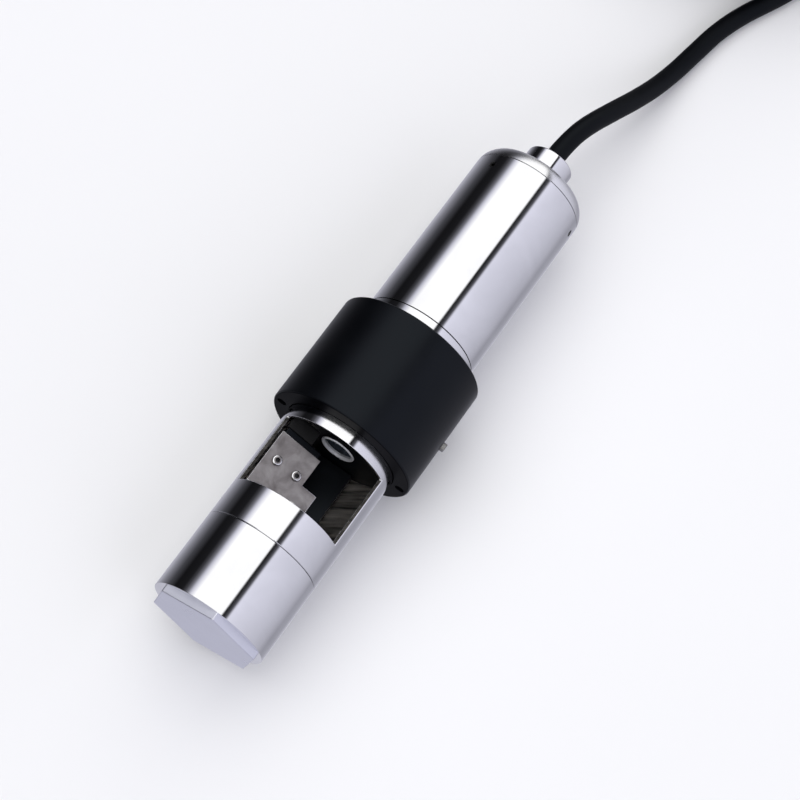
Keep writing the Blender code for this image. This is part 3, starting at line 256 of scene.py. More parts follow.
def bore_steel(name="chamber_bore_steel", low=0.2, middle=0.8, high=1.0):
    """Inside of the chamber: honed, with darker streaks of what the samples left. With very low tones it also
    gives the window's side faces their painted shade.
    """
    lean = STREAK_NORMAL.rotation_difference(Vector((1, 0, 0))).to_euler()
    grain = ((620, 30, 30), 6.0, 0.6, 0.0, lean)
    tones = [(at, (tone, tone * 0.95, tone * 0.9)) for at, tone in ((0.32, low), (0.5, middle), (0.68, high))]
    marks = [(RINGS, 2.0, 0.002, 0.5)]
    return mottled(name, (0.42, 0.4, 0.38), 0.4, 1.0, grain, tones, (0.34, 0.56), marks).material


def sheet_steel():
    """Wiper bracket: brushed sheet with stains."""
    tones = [(0.3, (0.22, 0.2, 0.195)), (0.6, (0.37, 0.35, 0.345)), (0.8, (0.48, 0.46, 0.455))]
    marks = [((5, 3200, 3200), 3.0, 0.003, 0.5)]
    grain, colour = (130, 6.0, 0.55, 0.5), (0.6, 0.59, 0.58)
    return mottled("brushed_sheet_steel", colour, 0.3, 1.0, grain, tones, (0.3, 0.46), marks).material


def painted_edge_highlight():
    """Painted highlight: lighter steel on the bevelled edges of milled and sheared steel."""
    n = Nodes("painted_edge_highlight_steel", (0.95, 0.95, 0.97), 0.25, 1.0)
    n.roughen(n.noise(300), 0.2, 0.32)
    return n.material


def ring_alloy():
    """Blasted and anodised alloy of the lens's ring."""
    tones = [(0.35, (0.66, 0.67, 0.71)), (0.7, (0.86, 0.87, 0.91))]
    return mottled("lens_ring_alloy", (0.78, 0.79, 0.83), 0.42, 0.35, (260, 5.0), tones, (0.34, 0.5)).material


def socket_shadow():
    """Painted shade on the walls and floor of a screw's socket, in dark steel."""
    tones = [(0.35, (0.015, 0.015, 0.016)), (0.7, (0.06, 0.06, 0.063))]
    return mottled("socket_painted_shade", (0.03, 0.03, 0.032), 0.4, 0.8, (500, 4.0), tones, (0.35, 0.5)).material


def screw_steel(name="screw_steel", tone=0.66):
    tones = [(0.3, (0.63 * tone, 0.6 * tone, 0.58 * tone)), (0.65, (tone, tone, tone))]
    marks = [(2500, 2.0, 0.004, 0.4)]
    return mottled(name, (tone, tone, tone), 0.28, 1.0, (700, 5.0), tones, (0.2, 0.42), marks).material


def black_acetal(name="black_acetal", specular=0.2):
    tones = [(0.3, (0.001, 0.0011, 0.0018)), (0.7, (0.002, 0.0021, 0.003))]
    marks = [(RINGS, 2.0, 0.006, 0.5), (1800, 3.0, 0.004, 0.35)]
    sockets = [("Specular IOR Level", specular), ("Specular Tint", COLD_TINT)]
    colour = (0.0015, 0.0016, 0.0024)
    return mottled(name, colour, 0.34, 0.0, (45, 6.0), tones, (0.3, 0.39), marks, sockets).material


def black_rubber(name="black_rubber", colour=(0.006, 0.006, 0.0065)):
    """Rubber with pale dust."""
    tones = [(0.45, colour), (0.8, tuple(2.4 * c for c in colour))]
    marks, sockets = [(3000, 3.0, 0.012, 0.5)], [("Specular IOR Level", 0.25)]
    return mottled(name, colour, 0.68, 0.0, (160, 8.0, 0.7), tones, (0.6, 0.8), marks, sockets).material


def cable_jacket():
    tones = [(0.35, (0.0015, 0.0017, 0.0025)), (0.75, (0.004, 0.0042, 0.005))]
    marks = [(160, 2.0, 0.05, 0.35), (2600, 2.0, 0.008, 0.5)]
    sockets = [("Specular IOR Level", 0.13), ("Specular Tint", COLD_TINT)]
    grain, colour = (30, 7.0, 0.65), (0.002, 0.0022, 0.003)
    return mottled("cable_jacket", colour, 0.5, 0.0, grain, tones, (0.44, 0.6), marks, sockets).material


def lens_glass():
    """Dark sapphire with a thin film on it."""
    tones = [(0.3, (0.02, 0.025, 0.035)), (0.7, (0.07, 0.085, 0.105))]
    sockets = [("IOR", 1.76), ("Coat Weight", 0.6), ("Coat Roughness", 0.02)]
    colour = (0.05, 0.06, 0.075)
    return mottled("sapphire_glass", colour, 0.03, 0.0, (240,), tones, (0.02, 0.06), (), sockets).material


def clear_epoxy():
    tones = [(0.3, (0.5, 0.54, 0.62)), (0.7, (0.74, 0.77, 0.82))]
    sockets = [("IOR", 1.5), ("Coat Weight", 0.5)]
    colour = (0.62, 0.66, 0.72)
    return mottled("clear_epoxy", colour, 0.12, 0.0, (600,), tones, (0.08, 0.2), (), sockets).material


def bronze():
    tones = [(0.3, (0.36, 0.22, 0.1)), (0.65, (0.66, 0.44, 0.2))]
    marks = [(RINGS, 2.0, 0.004, 0.5)]
    return mottled("bronze", (0.55, 0.36, 0.16), 0.32, 1.0, (260, 6.0), tones, (0.24, 0.45), marks).material


def tinned_can():
    n = Nodes("tinned_can", (0.66, 0.66, 0.68), 0.3, 1.0)
    frost = n.cells(900)
    n.colour(frost, [(0.1, (0.55, 0.55, 0.58)), (0.6, (0.74, 0.74, 0.76))])
    n.roughen(frost, 0.22, 0.4, 0.1, 0.7)
    n.raise_by(frost, 0.004 * MM, 0.4)
    return n.material


def printed_board(name, top=None):
    """Solder mask over copper tracks; above the board's top face, black component bodies."""
    n = Nodes(name, (0.015, 0.12, 0.05), 0.38)
    masks = {"Color1": (0.012, 0.12, 0.045, 1), "Color2": (0.016, 0.15, 0.06, 1)}
    gaps = {"Mortar": (0.03, 0.26, 0.1, 1), "Mortar Size": 0.09}
    tracks = n.texture("ShaderNodeTexBrick", 620, masks | gaps, offset=0.37, squash=1.6)
    n.raise_by(tracks["Fac"], 0.03 * MM, 0.5)
    output = tracks["Color"]
    if top is not None:
        split = n.node("ShaderNodeSeparateXYZ")
        n.link(n.place, split.inputs["Vector"])
        above = n.node("ShaderNodeMath", {1: top}, operation="GREATER_THAN")
        n.link(split.outputs["Z"], above.inputs[0])
        mix = n.node("ShaderNodeMix", data_type="RGBA")
        n.link(above.outputs["Value"], mix.inputs["Factor"])
        n.link(output, mix.inputs["A"])
        grain = [(0.3, (0.012,) * 3), (0.7, (0.03,) * 3)]
        n.link(add_ramp(n.tree, n.noise(1500), grain), mix.inputs["B"])
        output = mix.outputs["Result"]
    n.link(output, n.shader.inputs["Base Color"])
    n.roughen(n.noise(80), 0.3, 0.46)
    return n.material


def terminal_plastic():
    tones = [(0.3, (0.03, 0.25, 0.085)), (0.7, (0.05, 0.36, 0.13))]
    marks, colour = [(2400, 4.0, 0.01, 0.5)], (0.04, 0.3, 0.1)
    return mottled("terminal_plastic", colour, 0.42, 0.0, (120, 5.0), tones, (0.36, 0.5), marks).material


def strap_weave():
    """Hook and loop strap: rows of loops across a ribbed band."""
    n = Nodes("strap_weave", (0.018, 0.018, 0.02), 0.85)
    n.set("Sheen Weight", 0.35)
    n.set("Sheen Roughness", 0.45)
    loops = n.cells(1150)
    n.colour(loops, [(0.15, (0.03, 0.03, 0.033)), (0.6, (0.009, 0.009, 0.01))])
    n.roughen(loops, 0.75, 0.95, 0.1, 0.7)
    n.raise_by(loops, 0.25 * MM, 0.7)
    n.raise_by(n.texture("ShaderNodeTexWave", 420)["Fac"], 0.08 * MM, 0.5)
    return n.material


def core_insulation(name, colour):
    tones = [(0.3, tuple(0.8 * c for c in colour)), (0.7, tuple(min(1, 1.15 * c) for c in colour))]
    return mottled(name, colour, 0.42, 0.0, (400,), tones, (0.36, 0.5), [(1800, 4.0, 0.008, 0.5)]).material


def floor_paint():
    n = Nodes("studio_floor", (0.86, 0.86, 0.87), 0.6)
    cloud = n.noise(2.5, 3.0)
    n.colour(cloud, [(0.2, (0.85, 0.85, 0.86)), (0.8, (0.87, 0.87, 0.88))])
    n.set("Specular IOR Level", 0.2)
    return n.material


# ---------------------------------------------------------------- mesh tools


def finish_mesh(name, bm, material, place=None, sharp=35):
    bmesh.ops.remove_doubles(bm, verts=bm.verts, dist=1e-7)
    bmesh.ops.recalc_face_normals(bm, faces=bm.faces)
    if place is not None:
        bmesh.ops.transform(bm, matrix=place, verts=bm.verts)
    mesh = bpy.data.meshes.new(name)
    bm.to_mesh(mesh)
    bm.free()
    for each in material if isinstance(material, list) else [material]:
        mesh.materials.append(each)
    mesh.shade_smooth()
    mesh.set_sharp_from_angle(angle=radians(sharp))
    obj = bpy.data.objects.new(name, mesh)
    bpy.context.scene.collection.objects.link(obj)
    return obj


def even_shading(obj):
    """Keep flat faces flat and turned faces round where a small edge meets them."""
    modifier = obj.modifiers.new("even_shading", "WEIGHTED_NORMAL")
    modifier.keep_sharp = True
    modifier.weight = 80


def soften(obj, width, segments=3, angle=35, material=-1):
    bevel = obj.modifiers.new("soft_edges", "BEVEL")
    bevel.width = width
    bevel.segments = segments
    bevel.material = material
    bevel.limit_method = "ANGLE"
    bevel.angle_limit = radians(angle)
    bevel.use_clamp_overlap = True
    even_shading(obj)


def rounded(outline, radius, steps=3):
    """A closed outline with its corners rounded off, apart from those on the axis."""
    found = []
    count = len(outline)
    for k, (x, r) in enumerate(outline):
        here = Vector((x, r))
        before, after = Vector(outline[k - 1]) - here, Vector(outline[(k + 1) % count]) - here
        turn = before.angle(after) if before.length > 0 and after.length > 0 else pi
        if r < 1e-9 or turn > radians(150):
            found.append((x, r))
            continue
        back = min(radius, 0.4 * before.length, 0.4 * after.length)
        start, end = here + before.normalized() * back, here + after.normalized() * back
        for step in range(steps + 1):
            t = step / steps
            bend = (1 - t) ** 2 * start + 2 * t * (1 - t) * here + t**2 * end
            found.append((bend.x, max(bend.y, 0.0)))
    return found


def profile(start, *pairs):
    """Outline of (x, radius) from pairs of millimetres, with x counted from start."""
    return [(start + x * MM, r * MM) for x, r in pairs]


def add_turned(bm, outline, sides, height):
    """Faces of a closed outline of (x, radius) spun about the X line at this height."""
    rings = []
    for x, r in outline:
        if r < 1e-7:
            rings.append([bm.verts.new((x, 0, height))])
            continue
        angles = [2 * pi * k / sides for k in range(sides)]
        rings.append([bm.verts.new((x, r * sin(a), height + r * cos(a))) for a in angles])
    for low, high in zip(rings, rings[1:] + rings[:1]):
        if len(low) == 1 and len(high) == 1:
            continue
        for k in range(sides):
            corners = [low[k % len(low)], low[(k + 1) % len(low)]]
            corners += [high[(k + 1) % len(high)], high[k % len(high)]]
            bm.faces.new(list(dict.fromkeys(corners)))


def turned(name, outline, material, fillet=0.25 * MM, sides=SHELL_SIDES, height=AXIS, place=None):
    bm = bmesh.new()
    add_turned(bm, rounded(outline, fillet) if fillet else outline, sides, height)
    obj = finish_mesh(name, bm, material, place)
    even_shading(obj)
    return obj


def add_prism(bm, outline, low, high, axes):
    """Extrude an outline of (a, b) points along the axis that it leaves out."""
    along = 3 - sum(axes)
    sections = []
    for level in (low, high):
        corners = []
        for a, b in outline:
            point = [0.0, 0.0, 0.0]
            point[axes[0]], point[axes[1]], point[along] = a, b, level
            corners.append(bm.verts.new(point))
        sections.append(corners)
    bm.faces.new(sections[0])
    bm.faces.new(sections[1])
    count = len(outline)
    for k in range(count):
        after = (k + 1) % count
        bm.faces.new((sections[0][k], sections[0][after], sections[1][after], sections[1][k]))


def prism(name, outline, low, high, axes, material, place=None):
    bm = bmesh.new()
    add_prism(bm, outline, low, high, axes)
    return finish_mesh(name, bm, material, place)


def rectangle(low, high):
    return [(low[0], low[1]), (high[0], low[1]), (high[0], high[1]), (low[0], high[1])]


def box(name, low, high, material, place, edge):
    obj = prism(name, rectangle(low, high), low[2], high[2], (0, 1), material, place)
    soften(obj, edge)
    return obj


def regular(sides, radius, turn=0.0, centre=(0.0, 0.0)):
    """Corners of a regular polygon, the first one at this angle."""
    angles = [turn + 2 * pi * k / sides for k in range(sides)]
    return [(centre[0] + radius * sin(a), centre[1] + radius * cos(a)) for a in angles]


def drill(obj, radius, centre, low, high, axes, place=None, sides=40):
    """Cut a round hole along the axis that the two given ones leave out."""
    outline = regular(sides, radius, centre=centre)
    cut(obj, prism("hole_cutter", outline, low, high, axes, obj.data.materials[0], place))


def cut(obj, cutter):
    """Cut with a Boolean at once, and remove the cutter."""
    modifier = obj.modifiers.new("cut", "BOOLEAN")
    modifier.object = cutter
    modifier.solver = "EXACT"
    if len(obj.modifiers) > 1:
        obj.modifiers.move(len(obj.modifiers) - 1, 0)
    cutter.hide_render = True
    bpy.context.view_layer.update()
    kept = [m.name for m in obj.modifiers if m != modifier]
    for other in kept:
        obj.modifiers[other].show_viewport = False
    graph = bpy.context.evaluated_depsgraph_get()
    made = bpy.data.meshes.new_from_object(obj.evaluated_get(graph))
    obj.modifiers.remove(obj.modifiers["cut"])
    for other in kept:
        obj.modifiers[other].show_viewport = True
    obj.data = made
    bpy.data.objects.remove(cutter, do_unlink=True)
    made.set_sharp_from_angle(angle=radians(35))


def show(piece, body, slot, *nodes):
    """Tie a finished piece to its CAD body and hide the nodes that it stands for; the slot argument is not
    used.
    """
    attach(piece, body)
    if nodes:
        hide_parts(*nodes)
    return piece


# ---------------------------------------------------------------- camera


def make_camera():
    data = bpy.data.cameras.new("camera")
    data.sensor_width = 36.0
    data.lens = 92.79
    data.clip_start = 0.02
    camera = bpy.data.objects.new("camera", data)
    bpy.context.scene.collection.objects.link(camera)
    right = Vector((0.55631, -0.82274, 0.11668))
    up = Vector((0.75391, 0.55877, 0.34553))
    back = Vector((-0.34949, -0.10426, 0.93113))
    turn = Matrix((right, up, back)).transposed().to_4x4()
    camera.matrix_world = Matrix.Translation((-0.34819, -0.11307, 0.95997)) @ turn
    bpy.context.scene.camera = camera
    bpy.context.scene.view_settings.view_transform = "Standard"


# ---------------------------------------------------------------- cable


def smooth_points(route, spacing):
    """Points along a Catmull-Rom curve through the route, about this far apart."""
    points = [Vector(p) for p in route]
    points = [2 * points[0] - points[1], *points, 2 * points[-1] - points[-2]]
    found = [points[1]]
    for a, b, c, d in zip(points, points[1:], points[2:], points[3:]):
        steps = max(2, round((c - b).length / spacing))
        for k in range(1, steps + 1):
            t = k / steps
            cubic = (2 * a - 5 * b + 4 * c - d) * t**2 + (3 * b - a - 3 * c + d) * t**3
            found.append((2 * b + (c - a) * t + cubic) / 2)
    return found


def length_of(points):
    return sum((b - a).length for a, b in zip(points, points[1:]))


def ease(t):
    t = min(max(t, 0.0), 1.0)
    return t * t * (3 - 2 * t)


def hank_run():
    """Straight part of each turn that puts the cable's whole length into the hank."""
    turns = len(HANK_FOLDS) * HANK_LAYERS
    laid = length_of(smooth_points(CABLE_ROUTE, CABLE_RADIUS)) + CABLE_TAIL
    return ((CABLE_LENGTH - laid) / turns - 2 * pi * sum(HANK_FOLDS) / len(HANK_FOLDS)) / 2


def hank_points(run):
    """Turns of the hank: out along -Y, round the far fold, back along +Y, then a step over the near fold."""
    near, far = HANK_NEAR_FOLD, HANK_NEAR_FOLD + run
    first = HANK_BOTTOM + HANK_PITCH / 2
    top = HANK_BOTTOM + HANK_LAYERS * HANK_PITCH + SLEEVE_RADIUS + GAP
    turns = []
    for layer in range(HANK_LAYERS):
        order = HANK_FOLDS if layer % 2 else HANK_FOLDS[::-1]
        turns += [(fold, first + layer * HANK_PITCH) for fold in order]
    after = [*turns[1:], ((HANK_FOLDS[0] + HANK_FOLDS[-1]) / 2, top)]
    fold_steps, run_steps = 16, 4
    points = []
    for (fold, level), (next_fold, next_level) in zip(turns, after):
        points += [(near + run * k / run_steps, -fold, level) for k in range(run_steps)]
        for k in range(fold_steps):
            angle = pi * k / fold_steps
            points.append((far + fold * sin(angle), -fold * cos(angle), level))
        points += [(far - run * k / run_steps, fold, level) for k in range(run_steps)]
        climbs = next_level > level
        last = next_level == top
        bulge = 0.0
        if climbs:
            bulge = 4.0 * MM if fold > HANK_FOLDS[0] else -1.2 * MM
        rise_by, step_from = (0.6, 0.5) if last else (1.0, 0.0)
        for k in range(fold_steps):
            t = k / fold_steps
            angle = pi * t
            over = ease((t - step_from) / (1 - step_from))
            swell = bulge * sin(pi * min(t / rise_by, 1.0)) ** 2
            radius = fold + (next_fold - fold) * over + swell
            height = level + (next_level - level) * ease(t / rise_by)
            points.append((near - radius * sin(angle), radius * cos(angle), height))
    side = -after[-1][0]
    tail = (0.0, TAIL_START + CABLE_TAIL / 2, TAIL_START + CABLE_TAIL)
    points += [(near + x, side, top) for x in tail]
    return points, side, top


def tube_curve(name, points, radius, material, smoothness=4):
    curve = bpy.data.curves.new(name, "CURVE")
    curve.dimensions = "3D"
    curve.bevel_depth = radius
    curve.bevel_resolution = smoothness
    curve.use_fill_caps = True
    curve.materials.append(material)
    spline = curve.splines.new("POLY")
    spline.points.add(len(points) - 1)
    for target, point in zip(spline.points, points):
        target.co = (*point, 1)
        target.radius = 1
    spline.use_smooth = True
    obj = bpy.data.objects.new(name, curve)
    bpy.context.scene.collection.objects.link(obj)
    return obj


def make_strap(run, material):
    """A strap round both sides of the hank, sagging a little between them, with its end lapped on top."""
    half = HANK_FOLDS[-1] + HANK_PITCH / 2 + GAP
    low = HANK_BOTTOM - GAP
    high = HANK_BOTTOM + HANK_LAYERS * HANK_PITCH + GAP
    corner = CABLE_RADIUS
    end_x = HANK_NEAR_FOLD + run - STRAP_TO_FOLD
    start_x = end_x - STRAP_WIDTH
    outline = []
    for y, z, turn in ((half, high, 0), (half, low, 1), (-half, low, 2), (-half, high, 3)):
        centre_y = y - corner * (1 if y > 0 else -1)
        centre_z = z - corner * (1 if z > low else -1)
        for k in range(7):
            angle = pi / 2 * (turn + k / 6)
            outline.append((centre_y + corner * sin(angle), centre_z + corner * cos(angle)))
    top_steps = 16
    eye = HANK_FOLDS[0] - HANK_PITCH / 2
    for k in range(1, top_steps):
        y = -half + corner + 2 * (half - corner) * k / top_steps
        sag = 1.8 * MM * max(0.0, 1 - (y / eye) ** 2)
        outline.append((y, high - sag))
    bm = bmesh.new()
    columns = [start_x, start_x + 0.6 * MM, end_x - 0.6 * MM, end_x]
    lift = [0.25 * MM, 0.0, 0.0, 0.25 * MM]

    def offset(index, distance):
        """A point of the outline moved outwards."""
        before, here, after = (Vector(outline[(index + s) % len(outline)]) for s in (-1, 0, 1))
        along = (after - before).normalized()
        return here + Vector((-along.y, along.x)) * distance

    def layer(distance, sign):
        """One face of the strap, whose edges lie nearer to the other face."""
        pairs = list(zip(columns, lift))
        return [
            [bm.verts.new((x, *offset(i, distance + sign * edge))) for x, edge in pairs]
            for i in range(len(outline))
        ]

    inner, outer = layer(0.0, 1), layer(STRAP_THICKNESS, -1)
    count, width = len(outline), len(columns)
    for i in range(count):
        j = (i + 1) % count
        for c in range(width - 1):
            bm.faces.new((inner[i][c], inner[i][c + 1], inner[j][c + 1], inner[j][c]))
            bm.faces.new((outer[i][c], outer[i][c + 1], outer[j][c + 1], outer[j][c]))
        for c in (0, width - 1):
            bm.faces.new((inner[i][c], outer[i][c], outer[j][c], inner[j][c]))
    lap = rectangle((start_x + 0.4 * MM, 14 * MM), (end_x - 0.4 * MM, half - corner))
    flap_from = high + STRAP_THICKNESS - 0.2 * MM
    add_prism(bm, lap, flap_from, flap_from + 0.8 * MM, (0, 1))
    strap = finish_mesh("hank_tie", bm, material)
    soften(strap, 0.2 * MM, 2, 50)
    return strap


def make_cable_end(side, top):
    """Heat-shrink sleeve, four coloured cores laid on the hank, and a ferrule on each."""
    tail_to = HANK_NEAR_FOLD + TAIL_START + CABLE_TAIL
    start = tail_to + GAP - 4.0 * MM
    end = tail_to + GAP + SLEEVE_LENGTH
    core = 1.05 * MM
    outline = [
        (start, CABLE_RADIUS + 0.05 * MM),
        (start + 0.5 * MM, CABLE_RADIUS + 0.7 * MM),
        (end - 7 * MM, SLEEVE_RADIUS - 0.15 * MM),
        (end - 2.5 * MM, SLEEVE_RADIUS - 1.3 * MM),
        (end, SLEEVE_RADIUS - 1.7 * MM),
        (end, 0.0),
        (start, 0.0),
    ]
    shrink, place = black_rubber("heat_shrink", (0.02, 0.02, 0.021)), Matrix.Translation((0, side, top))
    pieces = [turned("heat_shrink_sleeve", outline, shrink, 0.3 * MM, 48, 0.0, place)]
    level = HANK_BOTTOM + HANK_LAYERS * HANK_PITCH + core + GAP
    colours = ((0.42, 0.035, 0.025), (0.03, 0.03, 0.033), (0.45, 0.36, 0.04), (0.05, 0.16, 0.42))
    ferrule_metal = tinned_can()
    for k, colour in zip((-1.5, -0.5, 0.5, 1.5), colours):
        tone = core_insulation(f"core_{'red black yellow blue'.split()[round(k + 1.5)]}", colour)
        y = side + k * CORE_SPREAD
        route = [
            (end - 3.0 * MM, side + k * 1.9 * MM, top - 2.0 * MM),
            (end + 2.0 * MM, side + k * 2.3 * MM, top - 2.7 * MM),
            (end + 0.3 * CORE_LENGTH, y, level),
            (end + 0.6 * CORE_LENGTH, y, level),
            (end + CORE_LENGTH - 9 * MM, y, level),
        ]
        number = round(k + 2.5)
        pieces.append(tube_curve(f"core_{number}", smooth_points(route, 2 * MM), core, tone, 3))
        tip = end + CORE_LENGTH
        collar = profile(tip, (-11, 1.05), (-10, 1.27), (-7.5, 1.27), (-7, 0.75), (0, 0.7), (0, 0), (-11, 0))
        place = Matrix.Translation((0, y, level))
        pieces.append(turned(f"ferrule_{number}", collar, ferrule_metal, 0.1 * MM, 20, 0.0, place))
    return pieces


def make_cable():
    run = hank_run()
    wound, side, top = hank_points(run)
    laid = smooth_points([*CABLE_ROUTE, *CABLE_LEAD, wound[0]], 3 * MM)
    cable = tube_curve("cable", [*laid, *wound[1:]], CABLE_RADIUS, cable_jacket(), 5)
    show(cable, "probe", "cable_jacket", "cable_run", "cable_hank", "cable_tail")
    strap = show(make_strap(run, strap_weave()), "probe", "strap", "hank_strap")
    ends = make_cable_end(side, top)
    for piece in ends:
        show(piece, "probe", "cable_end")
    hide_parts("cable_end")


# ---------------------------------------------------------------- stage


def make_stage():
    bm = bmesh.new()
    bmesh.ops.create_grid(bm, x_segments=1, y_segments=1, size=6.0)
    floor = finish_mesh("floor", bm, floor_paint())
    floor.visible_glossy = False


# Degrees from overhead towards +Y, and the brightness there
STUDIO = [
    *((-180, 0.62), (-157, 0.40), (-135, 0.36), (-119, 0.50), (-95, 0.62), (-66, 0.72), (-41, 0.80)),
    *((-30, 0.86), (-26, 0.10), (-21, 0.02), (-18, 0.02), (-16, 1.25), (42, 1.25), (51, 0.70)),
    *((57, 0.20), (63, 0.06), (70, 0.012), (88, 0.008), (106, 0.07), (122, 0.20), (144, 0.42), (180, 0.62)),
]


def make_world():
    """A plain studio round the probe: soft boxes above and on the -Y side, a dark side on +Y."""
    world = bpy.data.worlds.new("studio")
    bpy.context.scene.world = world
    world.use_nodes = True
    tree = world.node_tree
    link = tree.links.new
    split = add_node(tree, "ShaderNodeSeparateXYZ")
    link(add_node(tree, "ShaderNodeTexCoord").outputs["Generated"], split.inputs["Vector"])
    angle = add_node(tree, "ShaderNodeMath", operation="ARCTAN2")
    link(split.outputs["Y"], angle.inputs[0])
    link(split.outputs["Z"], angle.inputs[1])
    share = add_node(tree, "ShaderNodeMapRange", {"From Min": -pi, "From Max": pi})
    link(angle.outputs["Value"], share.inputs["Value"])
    colours = [
        ((degrees + 180) / 360, (level, level, level * (1.0 if level > 1 else 1.14)))
        for degrees, level in STUDIO
    ]
    output = add_ramp(tree, share.outputs["Result"], colours)
    link(output, tree.nodes["Background"].inputs["Color"])


def add_light(name, place, size, energy):
    """Rectangular light that faces the probe, and that the steel doesn't mirror."""
    data = bpy.data.lights.new(name, "AREA")
    data.shape = "RECTANGLE"
    data.size, data.size_y = size
    data.energy = energy
    lamp = bpy.data.objects.new(name, data)
    bpy.context.scene.collection.objects.link(lamp)
    lamp.location = place
    lamp.rotation_euler = (-Vector(place)).to_track_quat("-Z", "Y").to_euler()
    lamp.visible_glossy = False


def make_lights():
    add_light("overhead", (0.1, 0.5, 1.6), (1.8, 1.2), 6)
    add_light("side", (-0.3, -1.3, 1.1), (1.4, 0.9), 3)


# ---------------------------------------------------------------- housings


def make_lower_housing(steel, milled):
    """Cup with a milled hexagon on its closed end."""
    hex_top = station(4.0)
    bottom, seat_end = hex_top + 5.0 * MM, SEAM_LOW + 7.6 * MM
    cup = [
        (hex_top, 0.0),
        (hex_top, TUBE_RADIUS),
        (SEAM_LOW, TUBE_RADIUS),
        (SEAM_LOW, SEAT_RADIUS),
        (seat_end, SEAT_RADIUS),
        (seat_end, HOUSING_BORE),
        (bottom, HOUSING_BORE),
        (bottom, 0.0),
    ]
    housing = turned("lower_housing_shell", cup, steel, 0.22 * MM)
    show(housing, "probe", "polished_steel", "lower_housing")
    corners = [(y, AXIS + z) for y, z in regular(6, 29.85 * MM, radians(-8.3))]
    hexagon = prism("milled_hexagon", corners, HEX_END, hex_top + 2 * MM, (1, 2), milled)
    soften(hexagon, 0.45 * MM, 3)
    show(hexagon, "probe", "polished_steel")


def make_chamber_tube(steel, bore, painted_dark_cut_face, edges):
    """Thin tube with the window milled out of it above one plane."""
    inner, half = CHAMBER_BORE, WINDOW_HALF_ANGLE
    plane = TUBE_RADIUS * cos(half)
    inner_half = pi / 2 - asin(plane / inner)
    start, end = SEAM_LOW + GAP, SEAM_HIGH
    edge = 0.25 * MM
    columns = [start, start + edge, WINDOW_START, WINDOW_END, end - edge, end]
    inset = [edge, 0, 0, 0, 0, edge]
    open_steps = 78
    closed_steps = 138
    angles = [-half + 2 * half * k / open_steps for k in range(open_steps)]
    angles += [half + (2 * pi - 2 * half) * k / closed_steps for k in range(closed_steps)]

    def inside(angle):
        """The bore's angle beside one on the outside: the two meet the window's plane at different angles."""
        if angle <= half:
            return angle * inner_half / half
        return inner_half + (angle - half) * (2 * pi - 2 * inner_half) / (2 * pi - 2 * half)

    bm = bmesh.new()
    shells = []
    for radius, turn, sign in ((TUBE_RADIUS, lambda a: a, -1), (inner, inside, 0)):
        rows = []
        for angle in angles:
            a = turn(angle)
            row = []
            for x, cut_back in zip(columns, inset):
                r = radius + sign * cut_back
                row.append(bm.verts.new((x, r * sin(a), AXIS + r * cos(a))))
            rows.append(row)
        shells.append(rows)
    outer, bored = shells
    count = len(angles)
    gap_column = 2
    for k in range(count):
        after = (k + 1) % count
        for c in range(len(columns) - 1):
            if k < open_steps and c == gap_column:
                continue
            bm.faces.new((outer[k][c], outer[after][c], outer[after][c + 1], outer[k][c + 1]))
            wall = bm.faces.new((bored[k][c], bored[after][c], bored[after][c + 1], bored[k][c + 1]))
            wall.material_index = 1
        for c in (0, len(columns) - 1):
            bm.faces.new((outer[k][c], outer[after][c], bored[after][c], bored[k][c]))
        if k < open_steps:
            for c in (gap_column, gap_column + 1):
                bm.faces.new((outer[k][c], outer[after][c], bored[after][c], bored[k][c]))
    # The window's two side faces take the third material, a near-black steel: painted shade
    for k in (0, open_steps):
        side = bm.faces.new((outer[k][2], outer[k][3], bored[k][3], bored[k][2]))
        side.material_index = 2
    tube = finish_mesh("chamber_tube_shell", bm, [steel, bore, painted_dark_cut_face, edges])
    # Bevels take the fourth material, the painted edge highlight
    soften(tube, 0.25 * MM, 2, 50, 3)
    show(tube, "probe", "polished_steel", "chamber_tube")


def radial(radius, angle):
    """Y and Z at this radius, with the angle from the top towards +Y."""
    return radius * sin(angle), AXIS + radius * cos(angle)


def outwards(x, angle):
    """Frame on the probe's axis whose Z points outwards at this angle from the top towards +Y."""
    turn = Vector((0, sin(angle), cos(angle))).to_track_quat("Z", "Y").to_matrix().to_4x4()
    return Matrix.Translation((x, 0, AXIS)) @ turn


def make_upper_housing(steel, screw):
    seat_start = SEAM_HIGH - 10 * MM
    shell = [
        (seat_start, HOUSING_BORE),
        (seat_start, SEAT_RADIUS),
        (SEAM_HIGH + GAP, SEAT_RADIUS),
        (SEAM_HIGH + GAP, TUBE_RADIUS),
        (RIM, TUBE_RADIUS),
        (RIM, HOUSING_BORE),
    ]
    housing = turned("upper_housing_shell", shell, steel, 0.2 * MM)
    for number, degrees in enumerate((41.5, 161.5, -78.5), 1):
        place = outwards(RIM - 6.5 * MM, radians(degrees))
        drill(housing, 1.75 * MM, (0, 0), 24 * MM, 32 * MM, (0, 1), place)
        grub = grub_screw(f"cap_grub_screw_{number}", 22.3 * MM, 29.6 * MM, 1.5 * MM, 0.85 * MM, screw, place)
        show(grub, "probe", "screw_steel", f"cap_set_screw_{number}")
    show(housing, "probe", "polished_steel", "upper_housing")


def join_rings(bm, lower, upper, material=0):
    """Faces between two rings of as many points."""
    count = len(lower)
    for k in range(count):
        after = (k + 1) % count
        face = bm.faces.new((lower[k], lower[after], upper[after], upper[k]))
        face.material_index = material


